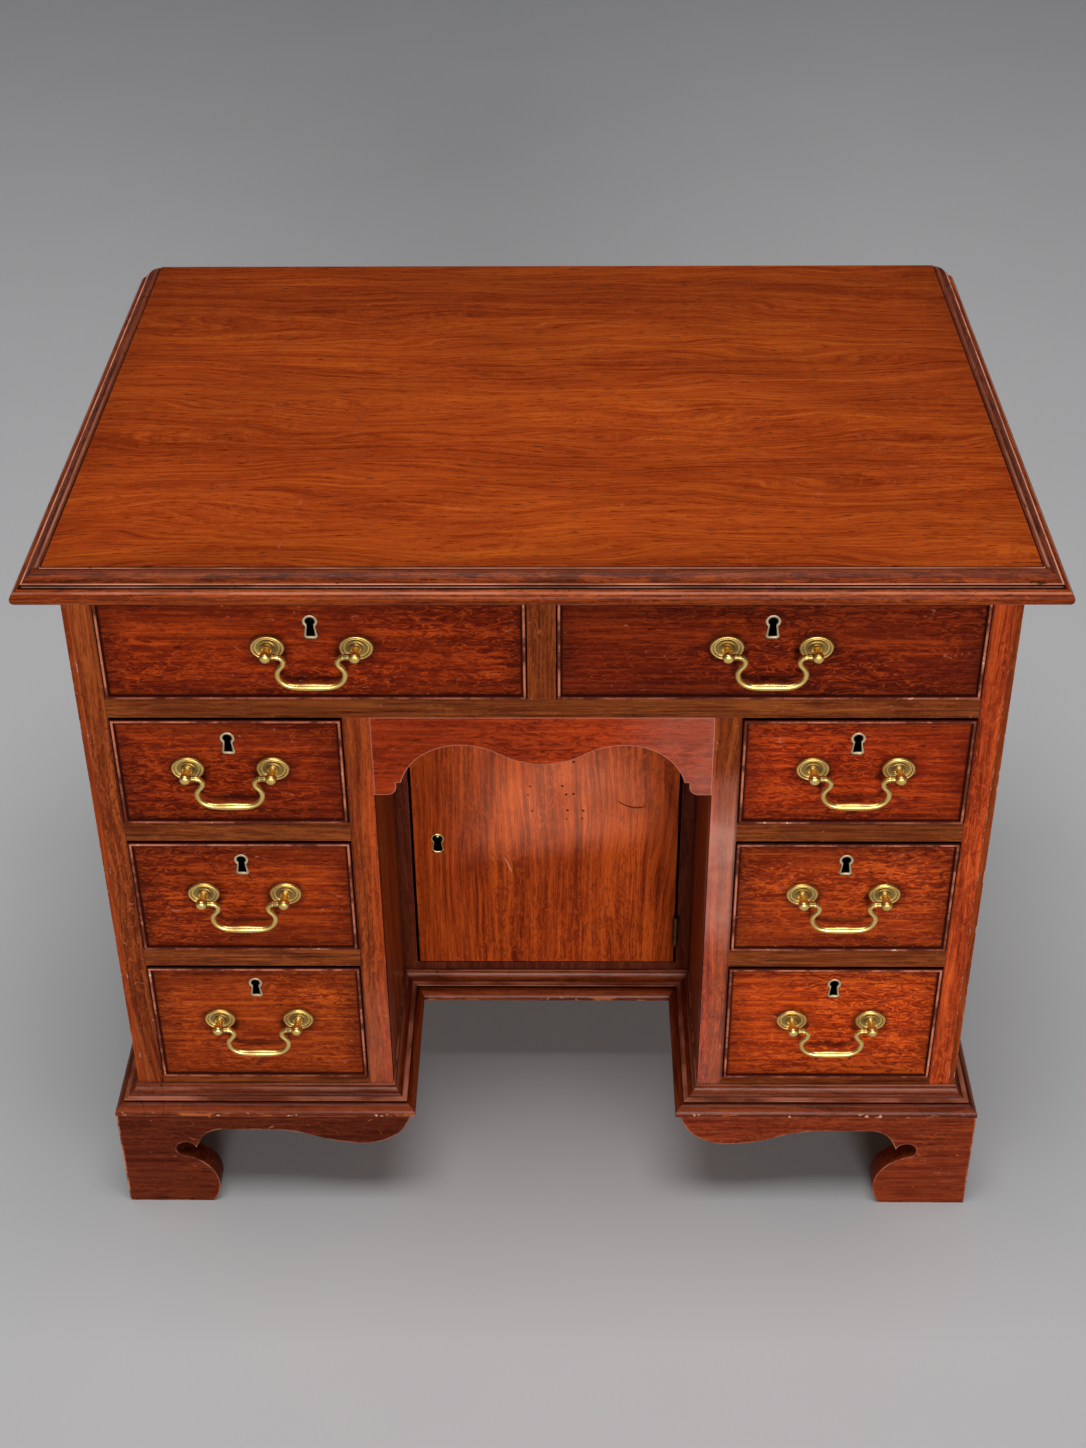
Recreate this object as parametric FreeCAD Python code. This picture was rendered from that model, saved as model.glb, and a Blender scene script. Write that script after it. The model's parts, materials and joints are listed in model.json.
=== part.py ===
"""Mahogany kneehole desk.

Two pedestals of three graduated drawers stand either side of a kneehole with a cupboard
set back in it. Two frieze drawers run across above them, under a top with a mitred,
moulded edge. Corner bracket feet carry a plinth moulding that follows the kneehole.

Millimetres. +X is to the right seen from the front, +Y runs to the back and +Z is up.
The origin is on the floor, under the centre of the top.
"""
import FreeCAD, Part
import math
import os

V = FreeCAD.Vector

# Plan of the carcass and top
CARCASS_WIDTH = 810.0
CARCASS_DEPTH = 570.0
KNEEHOLE_WIDTH = 302.0
KNEEHOLE_DEPTH = 158.0
TOP_OVERHANG = 32.0
TOP_BACK_OVERHANG = 8.0

# Heights, from the floor up
FOOT_HEIGHT = 126.0
PLINTH_HEIGHT = 24.0
BOTTOM_RAIL_SHOW = 10.0
LOWER_DRAWER = 149.5
MIDDLE_DRAWER = 134.5
UPPER_DRAWER = 119.5
FRIEZE_DRAWER = 104.5
PEDESTAL_RAIL = 21.5
FRIEZE_RAIL = 20.5
TOP_RAIL = 10.0
TOP_THICKNESS = 28.5

# Front framing
OUTER_STILE = 25.5
SIDE_LIP = 6.0
INNER_STILE = 24.0
DIVIDER = 24.5
FRAME_DEPTH = 22.0

# Carcass boards
SIDE_BOARD = 20.0
KNEEHOLE_BOARD = 16.0
DUSTBOARD = 12.0
BACK_BOARD = 8.0
GUIDE_HEIGHT = 18.0
KICKER_REACH = 18.0
GUIDE_CLEARANCE = 0.3

# Moulded edge of the top, from the flat field outwards
EDGE_WIDTH = 24.0
EDGE_QUIRK = 1.2
EDGE_OVOLO_DROP = 8.3
EDGE_OVOLO_WIDTH = 13.3
EDGE_FILLET = 1.6
EDGE_BEAD_RADIUS = 7.3
EDGE_BEAD_FOOT = 2.5
EDGE_BEAD_TURN = 105.0

# Plinth moulding, from the top down
PLINTH_REACH = 22.0
PLINTH_LEDGE = 2.0
PLINTH_COVE = 10.0
PLINTH_FILLET = 1.8
PLINTH_QUIRK = 1.2
PLINTH_FASCIA = 4.0

# Bracket feet
BRACKET_REVEAL = 0.4
BRACKET_THICKNESS = 22.0
SCROLL_RADIUS = 43.0
SCROLL_CENTRE = (51.5, 26.0)
NOTCH_RADIUS = 10.5
NOTCH_CENTRE = (65.3, 77.0)
NOTCH_CUSP_ANGLE = 15.0
LIP_RISE = 13.5
LIP_RUN = 6.0
CROWN_DEPTH = 19.7
CROWN_START = 104.0
CROWN_RUN = 46.0
DROP_DEPTH = 39.0
DROP_RUN = 46.5
BRACKET_INNER_RETURN = 16.5
REAR_BRACKET_LENGTH = 110.0
REAR_BRACKET_END = 45.0
CORNER_BLOCK = 30.0
GLUE_BLOCK = 18.0
GLUE_BLOCK_LENGTH = 46.0

# Shaped apron over the kneehole
APRON_THICKNESS = 18.0
APRON_END_DEPTH = 87.0
APRON_STEP_DEPTH = 73.0
APRON_LOBE_DEPTH = 31.0
APRON_CENTRE_DEPTH = 52.5
APRON_LOBE_X = 73.5
APRON_CUSP_INSET = 24.5
APRON_STEP = 4.5
APRON_END_ROUND = 8.5

# Cupboard in the kneehole
CUPBOARD_STILE = 14.5
CUPBOARD_OPENING = 352.0
DOOR_THICKNESS = 18.0
DOOR_GAP = 1.2
DOOR_SIDE_GAP = 3.0
DOOR_LOCK_INSET = 24.0
DOOR_LOCK_HEIGHT = 165.0
HINGE_HEIGHT = 39.0
HINGE_INSET = 28.0
HINGE_STAND_OFF = 3.0
HINGE_SIDES = 8
KNUCKLE_RADIUS = 2.7
HINGE_PIN_RADIUS = 1.2
HINGE_PIN_CLEARANCE = 0.05
KNUCKLE_GAP = 0.2
LEAF_THICKNESS = 1.7
LEAF_WIDTH = 14.0
LEAF_GAP = 0.1

# Drawers
DRAWER_GAP = 0.9
DRAWER_TOP_GAP = 1.8
DRAWER_RUN_CLEARANCE = 0.3
DRAWER_BACK_SPACE = 17.0
DRAWER_FRONT = 22.0
DRAWER_SIDE = 8.0
DRAWER_SIDE_DROP = 4.0
DRAWER_BACK = 8.0
DRAWER_BOTTOM = 6.0
DRAWER_BOTTOM_RISE = 8.0
DRAWER_GROOVE = 4.0
DRAWER_LAP = 9.0
TAIL_PITCH = 42.0
PIN_WIDTH = 6.0
TAIL_SLOPE = 1.0 / 6.0
BEAD_THICKNESS = 3.5
BEAD_PROUD = 2.5
BEAD_CHAMFER = 1.1
BEAD_REBATE = 7.0
STOP_INSET = 42.0
STOP_LENGTH = 30.0
STOP_WIDTH = 14.0
STOP_HEIGHT = 4.0

# Drop handles
HANDLE_CENTRES = 76.0
HANDLE_DROP_SHARE = 0.47
ROSE_SIDES = 12
ROSE_RADIUS = 15.0
ROSE_TALL_SHARE = 0.84
ROSE_EDGE = 1.2
ROSE_CREST_RADIUS = 13.2
ROSE_HEIGHT = 2.9
ROSE_DISH_RADIUS = 10.6
ROSE_SEAT = 1.8
SHANK = 5.0
SHANK_CLEARANCE = 0.1
SHANK_END = 6.0
POST_SIDES = 6
POST_COLLAR = 4.8
POST_NECK = 3.0
POST_NECK_START = 4.2
POST_NECK_END = 9.0
POST_HEAD = 4.9
POST_HEAD_HALF = 2.7
POST_REACH = 15.0
POST_TIP = 2.7
POST_TIP_LENGTH = 2.0
BAIL_SIDES = 6
BAIL_PIN = 1.9
BAIL_PIN_CLEARANCE = 0.05
BAIL_PIN_END = 0.9
BAIL_STUB = 2.8
BAIL_STUB_GAP = 0.35
BAIL_STUB_LENGTH = 2.0
BAIL_WIRE = 2.5
BAIL_NECK_RADIUS = 5.5
BAIL_NECK_X = 23.0
BAIL_NECK_STEPS = 2
BAIL_BELLY_X = 29.0
BAIL_BELLY_DROP = 17.0
BAIL_CORNER_STEPS = 3
BAIL_DROP = 31.0
BAIL_GRIP = 3.8
BAIL_GRIP_HALF = 6.0

# Keyholes and locks
KEYHOLE_DROP = 28.5
KEYHOLE_BOW = 4.0
KEYHOLE_BOW_RISE = 5.6
KEYHOLE_BOW_TURNS = (-45, 9, 63, 117, 171, 225)
KEYHOLE_SKIRT = 3.5
KEYHOLE_TAIL = 9.4
ESCUTCHEON_WALL = 2.6
ESCUTCHEON_DEPTH = 6.0
ESCUTCHEON_PROUD = 0.4
ESCUTCHEON_CLEARANCE = 0.1
LOCK_WIDTH = 54.0
LOCK_HEIGHT = 42.0
LOCK_THICKNESS = 11.0
LOCK_TOP_MARGIN = 4.0
KEY_PIN = 1.5
KEY_PIN_SIDES = 6
KEY_PIN_SETBACK = 4.0
DOOR_LOCK_WIDTH = 44.0
DOOR_LOCK_TALL = 62.0
DOOR_LOCK_EDGE = 2.0

# Spare length on a cutting shape, so that it clears what it cuts
OVERCUT = 1.0

# Places worked out from the sizes above
HALF = CARCASS_WIDTH / 2
KNEE = KNEEHOLE_WIDTH / 2
TOP_DEPTH = TOP_OVERHANG + CARCASS_DEPTH + TOP_BACK_OVERHANG
FRONT = TOP_OVERHANG - TOP_DEPTH / 2
BACK = FRONT + CARCASS_DEPTH
BACK_INSIDE = BACK - BACK_BOARD
FRAME_BACK = FRONT + FRAME_DEPTH
SIDE_INSIDE = HALF - SIDE_BOARD
PEDESTAL_INSIDE = KNEE + KNEEHOLE_BOARD
OPENING_OUTER = HALF - OUTER_STILE
OPENING_INNER = KNEE + INNER_STILE
CUPBOARD_Y = FRONT + KNEEHOLE_DEPTH

BASE_TOP = FOOT_HEIGHT + PLINTH_HEIGHT
LOWER_Z = BASE_TOP + BOTTOM_RAIL_SHOW
MIDDLE_Z = LOWER_Z + LOWER_DRAWER + PEDESTAL_RAIL
UPPER_Z = MIDDLE_Z + MIDDLE_DRAWER + PEDESTAL_RAIL
PEDESTAL_TOP = UPPER_Z + UPPER_DRAWER
FRIEZE_Z = PEDESTAL_TOP + FRIEZE_RAIL
TOP_RAIL_Z = FRIEZE_Z + FRIEZE_DRAWER
CARCASS_TOP = TOP_RAIL_Z + TOP_RAIL
KNEEHOLE_CEILING = FRIEZE_Z - DUSTBOARD

DRAWER_END = BACK_INSIDE - DRAWER_BACK_SPACE
BRACKET_FACE = PLINTH_REACH - BRACKET_REVEAL
BRACKET_BACK = BRACKET_THICKNESS - BRACKET_FACE
DOOR_TOP = LOWER_Z + CUPBOARD_OPENING
DOOR_EDGE = KNEE - CUPBOARD_STILE - DOOR_SIDE_GAP
HINGE_X = DOOR_EDGE + DOOR_SIDE_GAP / 2
HINGE_Y = CUPBOARD_Y - HINGE_STAND_OFF
HINGE_FEET = (LOWER_Z + HINGE_INSET, DOOR_TOP - HINGE_INSET - HINGE_HEIGHT)

LEFT = (-OPENING_OUTER, -OPENING_INNER)
RIGHT = (OPENING_INNER, OPENING_OUTER)
DRAWERS = {
    "frieze_left": (-OPENING_OUTER, -DIVIDER / 2, FRIEZE_Z, FRIEZE_DRAWER),
    "frieze_right": (DIVIDER / 2, OPENING_OUTER, FRIEZE_Z, FRIEZE_DRAWER),
    "upper_left": LEFT + (UPPER_Z, UPPER_DRAWER),
    "middle_left": LEFT + (MIDDLE_Z, MIDDLE_DRAWER),
    "lower_left": LEFT + (LOWER_Z, LOWER_DRAWER),
    "upper_right": RIGHT + (UPPER_Z, UPPER_DRAWER),
    "middle_right": RIGHT + (MIDDLE_Z, MIDDLE_DRAWER),
    "lower_right": RIGHT + (LOWER_Z, LOWER_DRAWER),
}


# Shape helpers

def box(x0, x1, y0, y1, z0, z1):
    """A board between two corners."""
    return Part.makeBox(x1 - x0, y1 - y0, z1 - z0, V(x0, y0, z0))


def polygon(corners):
    """A flat face on a ring of corners."""
    return Part.Face(Part.makePolygon(corners + corners[:1]))


def ring(place, sides, radius, depth):
    """The corners of a regular polygon across an axis, at a depth along it."""
    corners = []
    for index in range(sides):
        angle = 2 * math.pi * (index + 0.5) / sides
        corners.append(place(radius * math.cos(angle), radius * math.sin(angle), depth))
    return corners


def patch(a, b, c, d):
    """A face on four corners, or two where the corners aren't in one plane."""
    if abs((b - a).cross(c - a).dot(d - a)) < 1e-6:
        return [polygon([a, b, c, d])]
    return [polygon([a, b, c]), polygon([a, c, d])]


def faceted(rings):
    """A closed, flat-sided solid through a row of rings with equally many corners."""
    faces = [polygon(rings[0]), polygon(rings[-1])]
    for near, far in zip(rings, rings[1:]):
        for index in range(len(near)):
            after = (index + 1) % len(near)
            faces += patch(near[index], near[after], far[after], far[index])
    solid = Part.Solid(Part.Shell(faces))
    if solid.Volume < 0:
        solid.reverse()
    return solid


def prism(place, sides, radius, start, end):
    """A flat-sided bar along an axis."""
    return faceted([ring(place, sides, radius, depth) for depth in (start, end)])


def fused(first, *others):
    """Several solids joined into one clean solid."""
    return first.fuse(list(others)).removeSplitter().Solids[0]


def outline(place, start, moves):
    """A closed wire in a plane.

    place turns two plane coordinates into a point. A move is an end point, for a line,
    or a pair of a point on the way and an end point, for an arc.
    """
    edges = []
    here = start
    for move in list(moves) + [start]:
        if isinstance(move[0], tuple):
            via, end = move
            edges.append(Part.Arc(place(*here), place(*via), place(*end)).toShape())
            here = end
        elif math.dist(here, move) > 1e-7:
            edges.append(Part.LineSegment(place(*here), place(*move)).toShape())
            here = move
    return Part.Wire(edges)


def on_circle(centre, radius, degrees):
    """The point of a circle at an angle."""
    angle = math.radians(degrees)
    return (centre[0] + radius * math.cos(angle), centre[1] + radius * math.sin(angle))


def ogee(start, end):
    """Two equal arcs, level at both ends, that join two points in an S."""
    run = end[0] - start[0]
    rise = end[1] - start[1]
    radius = (run * run + rise * rise) / (4 * abs(rise))
    sag = radius - math.sqrt(radius * radius - run * run / 16)
    sign = math.copysign(1, rise)
    middle = ((start[0] + end[0]) / 2, (start[1] + end[1]) / 2)
    first = (start[0] + run / 4, start[1] + sign * sag)
    second = (end[0] - run / 4, end[1] - sign * sag)
    return [(first, middle), (second, end)]


def arc_from_level(level, end):
    """One arc that leaves a point level and reaches another point."""
    run = end[0] - level[0]
    rise = end[1] - level[1]
    radius = (run * run + rise * rise) / (2 * rise)
    half_turn = math.asin(run / radius) / 2
    return level[0] + radius * math.sin(half_turn), level[1] + radius * (1 - math.cos(half_turn))


def mitred_run(profile, a, b, out, up, mitres, limits):
    """A straight run of moulding from a to b, with its ends cut to the mitre lines.

    profile(place) gives the section, u along out and v along up. A mitre of 1 is an
    outside corner, -1 an inside corner and 0 a square end. limits are the section's reach
    along out, and its lowest and highest points along up.
    """
    reach, low, high = limits
    along = V(b - a).normalize()
    spare = reach + OVERCUT
    begin = a - along * spare
    section = profile(lambda u, v: begin + out * u + up * v)
    bar = Part.Face(section).extrude(along * ((b - a).Length + 2 * spare))

    def corner(end, sign, mitre, u):
        return end + out * u + along * (sign * mitre * u) + up * (low - OVERCUT)

    quad = [
        corner(a, -1, mitres[0], -OVERCUT),
        corner(b, 1, mitres[1], -OVERCUT),
        corner(b, 1, mitres[1], spare),
        corner(a, -1, mitres[0], spare),
    ]
    wedge = polygon(quad).extrude(up * (high - low + 2 * OVERCUT))
    return bar.common(wedge).Solids[0]


def mirrored(shape):
    """The same piece on the other side of the desk."""
    return shape.mirror(V(0, 0, 0), V(1, 0, 0))


def both_sides(shape):
    """A piece and its mirror image."""
    return [shape, mirrored(shape)]


# Top

def top_edge_section(place):
    """Quirk, ovolo, fillet, groove and bead, from the flat field outwards."""
    top = TOP_THICKNESS
    bead = (EDGE_WIDTH - EDGE_BEAD_RADIUS, EDGE_BEAD_FOOT + EDGE_BEAD_RADIUS)
    bead_start = on_circle(bead, EDGE_BEAD_RADIUS, EDGE_BEAD_TURN)
    bead_via = on_circle(bead, EDGE_BEAD_RADIUS, (EDGE_BEAD_TURN - 90) / 2)
    ovolo_start = (EDGE_QUIRK, top - EDGE_QUIRK)
    ovolo_end = (EDGE_QUIRK + EDGE_OVOLO_WIDTH, top - EDGE_OVOLO_DROP)
    fillet_x = ovolo_end[0] + EDGE_FILLET
    fillet_z = ovolo_end[1] - EDGE_FILLET
    return outline(place, (0, 0), [
        (bead[0] - EDGE_FILLET, 0),
        (bead[0] - EDGE_FILLET, EDGE_BEAD_FOOT),
        (bead[0], EDGE_BEAD_FOOT),
        (bead_via, bead_start),
        (bead_start[0], fillet_z),
        (fillet_x, fillet_z),
        (fillet_x, ovolo_end[1]),
        ovolo_end,
        (arc_from_level(ovolo_start, ovolo_end), ovolo_start),
        (0, top - EDGE_QUIRK),
    ])


def make_top():
    """The flat field and its three mitred edge mouldings."""
    field_x = HALF + TOP_OVERHANG - EDGE_WIDTH
    field_y = FRONT - TOP_OVERHANG + EDGE_WIDTH
    back = BACK + TOP_BACK_OVERHANG
    field = box(-field_x, field_x, field_y, back, CARCASS_TOP, CARCASS_TOP + TOP_THICKNESS)
    left = V(-field_x, field_y, CARCASS_TOP)
    right = V(field_x, field_y, CARCASS_TOP)
    far = V(field_x, back, CARCASS_TOP)
    up = V(0, 0, 1)
    limits = (EDGE_WIDTH, 0, TOP_THICKNESS)
    front_run = mitred_run(top_edge_section, left, right, V(0, -1, 0), up, (1, 1), limits)
    end_run = mitred_run(top_edge_section, right, far, V(1, 0, 0), up, (1, 0), limits)
    return {"top_board": [field], "top_edge_moulding": [front_run] + both_sides(end_run)}


# Carcass

def make_sides():
    """Outer side boards, rebated at the front for the stiles, and the kneehole's side boards."""
    board = box(SIDE_INSIDE, HALF, FRONT, BACK, FOOT_HEIGHT, CARCASS_TOP)
    rebate = box(OPENING_OUTER, HALF - SIDE_LIP, FRONT, FRAME_BACK, FOOT_HEIGHT, CARCASS_TOP)
    right = board.cut(rebate).Solids[0]
    knee_board = box(KNEE, PEDESTAL_INSIDE, FRAME_BACK, BACK_INSIDE, FOOT_HEIGHT, KNEEHOLE_CEILING)
    return {
        "side_panel_right": [right],
        "side_panel_left": [mirrored(right)],
        "kneehole_sides": both_sides(knee_board),
    }


def make_front_frame():
    """Stiles, rails and the divider that frame the drawers."""
    outer = box(OPENING_OUTER, HALF - SIDE_LIP, FRONT, FRAME_BACK, FOOT_HEIGHT, CARCASS_TOP)
    inner = box(KNEE, OPENING_INNER, FRONT, FRAME_BACK, FOOT_HEIGHT, PEDESTAL_TOP)
    top_rail = box(-OPENING_OUTER, OPENING_OUTER, FRONT, FRAME_BACK, TOP_RAIL_Z, CARCASS_TOP)
    frieze_rail = box(-OPENING_OUTER, OPENING_OUTER, FRONT, FRAME_BACK, PEDESTAL_TOP, FRIEZE_Z)
    divider = box(-DIVIDER / 2, DIVIDER / 2, FRONT, FRAME_BACK, FRIEZE_Z, TOP_RAIL_Z)
    rails = []
    spans = ((FOOT_HEIGHT, LOWER_Z), (MIDDLE_Z - PEDESTAL_RAIL, MIDDLE_Z), (UPPER_Z - PEDESTAL_RAIL, UPPER_Z))
    for low, high in spans:
        rails += both_sides(box(OPENING_INNER, OPENING_OUTER, FRONT, FRAME_BACK, low, high))
    inner_edge = OPENING_OUTER - KICKER_REACH
    kickers = both_sides(box(inner_edge, SIDE_INSIDE, FRAME_BACK, BACK_INSIDE, TOP_RAIL_Z, CARCASS_TOP))
    kickers.append(box(-KICKER_REACH, KICKER_REACH, FRAME_BACK, BACK_INSIDE, TOP_RAIL_Z, CARCASS_TOP))
    return {
        "front_stiles": both_sides(outer) + both_sides(inner),
        "top_rail": [top_rail],
        "top_kickers": kickers,
        "frieze_rail": [frieze_rail],
        "frieze_divider": [divider],
        "pedestal_rails": rails,
    }


def make_inside():
    """Dustboards, drawer guides and stops, and the back boards."""
    boards = [box(-SIDE_INSIDE, SIDE_INSIDE, FRAME_BACK, BACK_INSIDE, KNEEHOLE_CEILING, FRIEZE_Z)]
    cupboard_floor = CUPBOARD_Y + FRAME_DEPTH
    boards.append(box(-KNEE, KNEE, cupboard_floor, BACK_INSIDE, LOWER_Z - DUSTBOARD, LOWER_Z))
    guides = []
    outer = (OPENING_OUTER + GUIDE_CLEARANCE, SIDE_INSIDE)
    inner = (PEDESTAL_INSIDE, OPENING_INNER - GUIDE_CLEARANCE)
    for floor in (LOWER_Z, MIDDLE_Z, UPPER_Z):
        board = box(PEDESTAL_INSIDE, SIDE_INSIDE, FRAME_BACK, BACK_INSIDE, floor - DUSTBOARD, floor)
        boards += both_sides(board)
        for x0, x1 in (outer, inner):
            guides += both_sides(box(x0, x1, FRAME_BACK, BACK_INSIDE, floor, floor + GUIDE_HEIGHT))
    frieze_guide_top = FRIEZE_Z + GUIDE_HEIGHT
    guides += both_sides(box(*outer, FRAME_BACK, BACK_INSIDE, FRIEZE_Z, frieze_guide_top))
    centre = DIVIDER / 2 - GUIDE_CLEARANCE
    guides.append(box(-centre, centre, FRAME_BACK, BACK_INSIDE, FRIEZE_Z, frieze_guide_top))
    stops = []
    stop_y = FRONT + DRAWER_FRONT
    half = STOP_LENGTH / 2
    for x0, x1, floor, _ in DRAWERS.values():
        for middle in (x0 + STOP_INSET, x1 - STOP_INSET):
            stop = box(middle - half, middle + half, stop_y, stop_y + STOP_WIDTH, floor, floor + STOP_HEIGHT)
            stops.append(stop)
    back = [box(-KNEE, KNEE, BACK_INSIDE, BACK, FOOT_HEIGHT, CARCASS_TOP)]
    back += both_sides(box(KNEE, SIDE_INSIDE, BACK_INSIDE, BACK, FOOT_HEIGHT, CARCASS_TOP))
    return {"dustboards": boards, "drawer_guides": guides, "drawer_stops": stops, "back_boards": back}


# Plinth and feet

def plinth_section(place):
    """Ledge, cove, fillet, quirk, ovolo and fascia, down from the carcass."""
    top = PLINTH_HEIGHT
    cove_end = (PLINTH_LEDGE + PLINTH_COVE, top - PLINTH_COVE)
    cove_centre = (cove_end[0], top)
    fillet_x = cove_end[0] + PLINTH_FILLET
    quirk_z = cove_end[1] - PLINTH_FILLET
    ovolo_top = quirk_z - PLINTH_QUIRK
    ovolo_start = (cove_end[0], ovolo_top)
    ovolo_end = (PLINTH_REACH, PLINTH_FASCIA)
    return outline(place, (0, 0), [
        (PLINTH_REACH, 0),
        ovolo_end,
        (arc_from_level(ovolo_start, ovolo_end), ovolo_start),
        (cove_end[0], quirk_z),
        (fillet_x, quirk_z),
        (fillet_x, cove_end[1]),
        cove_end,
        (on_circle(cove_centre, PLINTH_COVE, 225), (PLINTH_LEDGE, top)),
        (0, top),
    ])


def make_plinth():
    """Seven mitred runs: outer ends, fronts, kneehole sides and the cupboard's front."""
    z = FOOT_HEIGHT
    up = V(0, 0, 1)
    left, right, near = V(-1, 0, 0), V(1, 0, 0), V(0, -1, 0)
    limits = (PLINTH_REACH, 0, PLINTH_HEIGHT)
    outer, outer_back = V(HALF, FRONT, z), V(HALF, BACK, z)
    inner, inner_back = V(KNEE, FRONT, z), V(KNEE, CUPBOARD_Y, z)
    end = mitred_run(plinth_section, outer, outer_back, right, up, (1, 0), limits)
    front = mitred_run(plinth_section, inner, outer, near, up, (1, 1), limits)
    knee = mitred_run(plinth_section, inner, inner_back, left, up, (1, -1), limits)
    across = V(-KNEE, CUPBOARD_Y, z)
    cupboard = mitred_run(plinth_section, across, inner_back, near, up, (-1, -1), limits)
    return {"plinth_moulding": both_sides(end) + both_sides(front) + both_sides(knee) + [cupboard]}


def foot_moves():
    """The foot's inner edge: floor, scroll, drilled notch, cusp and the start of the arch."""
    floor_x = SCROLL_CENTRE[0] + math.sqrt(SCROLL_RADIUS ** 2 - SCROLL_CENTRE[1] ** 2)
    between = (NOTCH_CENTRE[0] - SCROLL_CENTRE[0], NOTCH_CENTRE[1] - SCROLL_CENTRE[1])
    span = math.hypot(*between)
    heading = math.degrees(math.atan2(between[1], between[0]))
    cosine = (span ** 2 + SCROLL_RADIUS ** 2 - NOTCH_RADIUS ** 2) / (2 * span * SCROLL_RADIUS)
    meet_angle = heading + math.degrees(math.acos(cosine))
    meet = on_circle(SCROLL_CENTRE, SCROLL_RADIUS, meet_angle)
    floor_angle = -math.degrees(math.asin(SCROLL_CENTRE[1] / SCROLL_RADIUS))
    scroll_via = on_circle(SCROLL_CENTRE, SCROLL_RADIUS, (floor_angle + meet_angle) / 2)
    cusp = on_circle(NOTCH_CENTRE, NOTCH_RADIUS, NOTCH_CUSP_ANGLE)
    notch_meet = math.degrees(math.atan2(meet[1] - NOTCH_CENTRE[1], meet[0] - NOTCH_CENTRE[0])) % 360
    notch_via = on_circle(NOTCH_CENTRE, NOTCH_RADIUS, (notch_meet + NOTCH_CUSP_ANGLE) / 2)
    lip = (cusp[0] + LIP_RUN, cusp[1] + LIP_RISE)
    crown = (CROWN_START, FOOT_HEIGHT - CROWN_DEPTH)
    arch = (arc_from_level(crown, lip), crown)
    return [(floor_x, 0), (scroll_via, meet), (notch_via, cusp), lip, arch]


def front_bracket():
    """Right front bracket: foot at the corner, flat arch and a rounded drop at the kneehole."""
    length = HALF - KNEE + BRACKET_FACE + BRACKET_INNER_RETURN
    crown_end = (CROWN_START + CROWN_RUN, FOOT_HEIGHT - CROWN_DEPTH)
    drop = (length - DROP_RUN, FOOT_HEIGHT - DROP_DEPTH)
    tip = (length, FOOT_HEIGHT)
    corner_x = HALF + BRACKET_FACE
    face_y = FRONT - BRACKET_FACE
    end = [(arc_from_level(drop, tip), tip), (0, FOOT_HEIGHT)]
    moves = foot_moves() + [crown_end] + ogee(crown_end, drop) + end
    shape = Part.Face(outline(lambda s, z: V(corner_x - s, face_y, z), (0, 0), moves))
    board = shape.extrude(V(0, BRACKET_THICKNESS, 0))
    return board.cut(corner_mitre(V(0, 1, 0))).Solids[0]


def corner_mitre(waste):
    """The waste beyond the front corner's mitre, on the side that waste points to."""
    corner = V(HALF + BRACKET_FACE, FRONT - BRACKET_FACE, -OVERCUT)
    inward = V(-1, 1, 0) * (2 * BRACKET_THICKNESS)
    away = waste * CARCASS_DEPTH
    points = [corner - inward, corner + inward, corner + inward + away, corner - inward + away]
    return polygon(points).extrude(V(0, 0, FOOT_HEIGHT + 2 * OVERCUT))


def side_bracket():
    """Right side bracket: a foot at each end and a flat arch between them."""
    corner_x = HALF + BRACKET_FACE
    face_y = FRONT - BRACKET_FACE
    length = BACK - face_y
    near = foot_moves()
    ends = [(0, 0)] + [move[1] if isinstance(move[0], tuple) else move for move in near]
    far = [(length - ends[-1][0], ends[-1][1])]
    for start, move in zip(ends[-2:0:-1], near[:0:-1]):
        end = (length - start[0], start[1])
        is_arc = isinstance(move[0], tuple)
        far.append(((length - move[0][0], move[0][1]), end) if is_arc else end)
    moves = near + far + [(length, 0), (length, FOOT_HEIGHT), (0, FOOT_HEIGHT)]
    shape = Part.Face(outline(lambda s, z: V(corner_x, face_y + s, z), (0, 0), moves))
    board = shape.extrude(V(-BRACKET_THICKNESS, 0, 0))
    return board.cut(corner_mitre(V(-1, 0, 0))).Solids[0]


def rear_bracket():
    """Right rear bracket: a plain board with a slanting end, out of sight at the back."""
    outer = HALF + BRACKET_FACE - BRACKET_THICKNESS
    inner = outer - REAR_BRACKET_LENGTH
    shape = Part.Face(outline(lambda x, z: V(x, BACK, z), (outer, 0), [
        (outer, FOOT_HEIGHT),
        (inner, FOOT_HEIGHT),
        (inner, FOOT_HEIGHT - CROWN_DEPTH),
        (outer - REAR_BRACKET_END, 0),
    ]))
    return shape.extrude(V(0, -BRACKET_THICKNESS, 0)).Solids[0]


def make_feet():
    """Bracket feet, and the blocks behind them that carry the weight."""
    outer = HALF + BRACKET_FACE - BRACKET_THICKNESS
    near = FRONT + BRACKET_BACK
    far = BACK - BRACKET_THICKNESS
    blocks = both_sides(box(outer - CORNER_BLOCK, outer, near, near + CORNER_BLOCK, 0, FOOT_HEIGHT))
    blocks += both_sides(box(outer - CORNER_BLOCK, outer, far - CORNER_BLOCK, far, 0, FOOT_HEIGHT))
    low = FOOT_HEIGHT - GLUE_BLOCK
    half = GLUE_BLOCK_LENGTH / 2
    for middle in (HALF - CROWN_START, KNEE + DROP_RUN):
        blocks += both_sides(box(middle - half, middle + half, near, near + GLUE_BLOCK, low, FOOT_HEIGHT))
    apron_y = FRONT + APRON_THICKNESS
    apron_low = PEDESTAL_TOP - GLUE_BLOCK_LENGTH
    blocks += both_sides(box(KNEE - GLUE_BLOCK, KNEE, apron_y, apron_y + GLUE_BLOCK, apron_low, PEDESTAL_TOP))
    return {
        "front_brackets": both_sides(front_bracket()),
        "side_brackets": both_sides(side_bracket()),
        "rear_brackets": both_sides(rear_bracket()),
        "glue_blocks": blocks,
    }


# Kneehole

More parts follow.
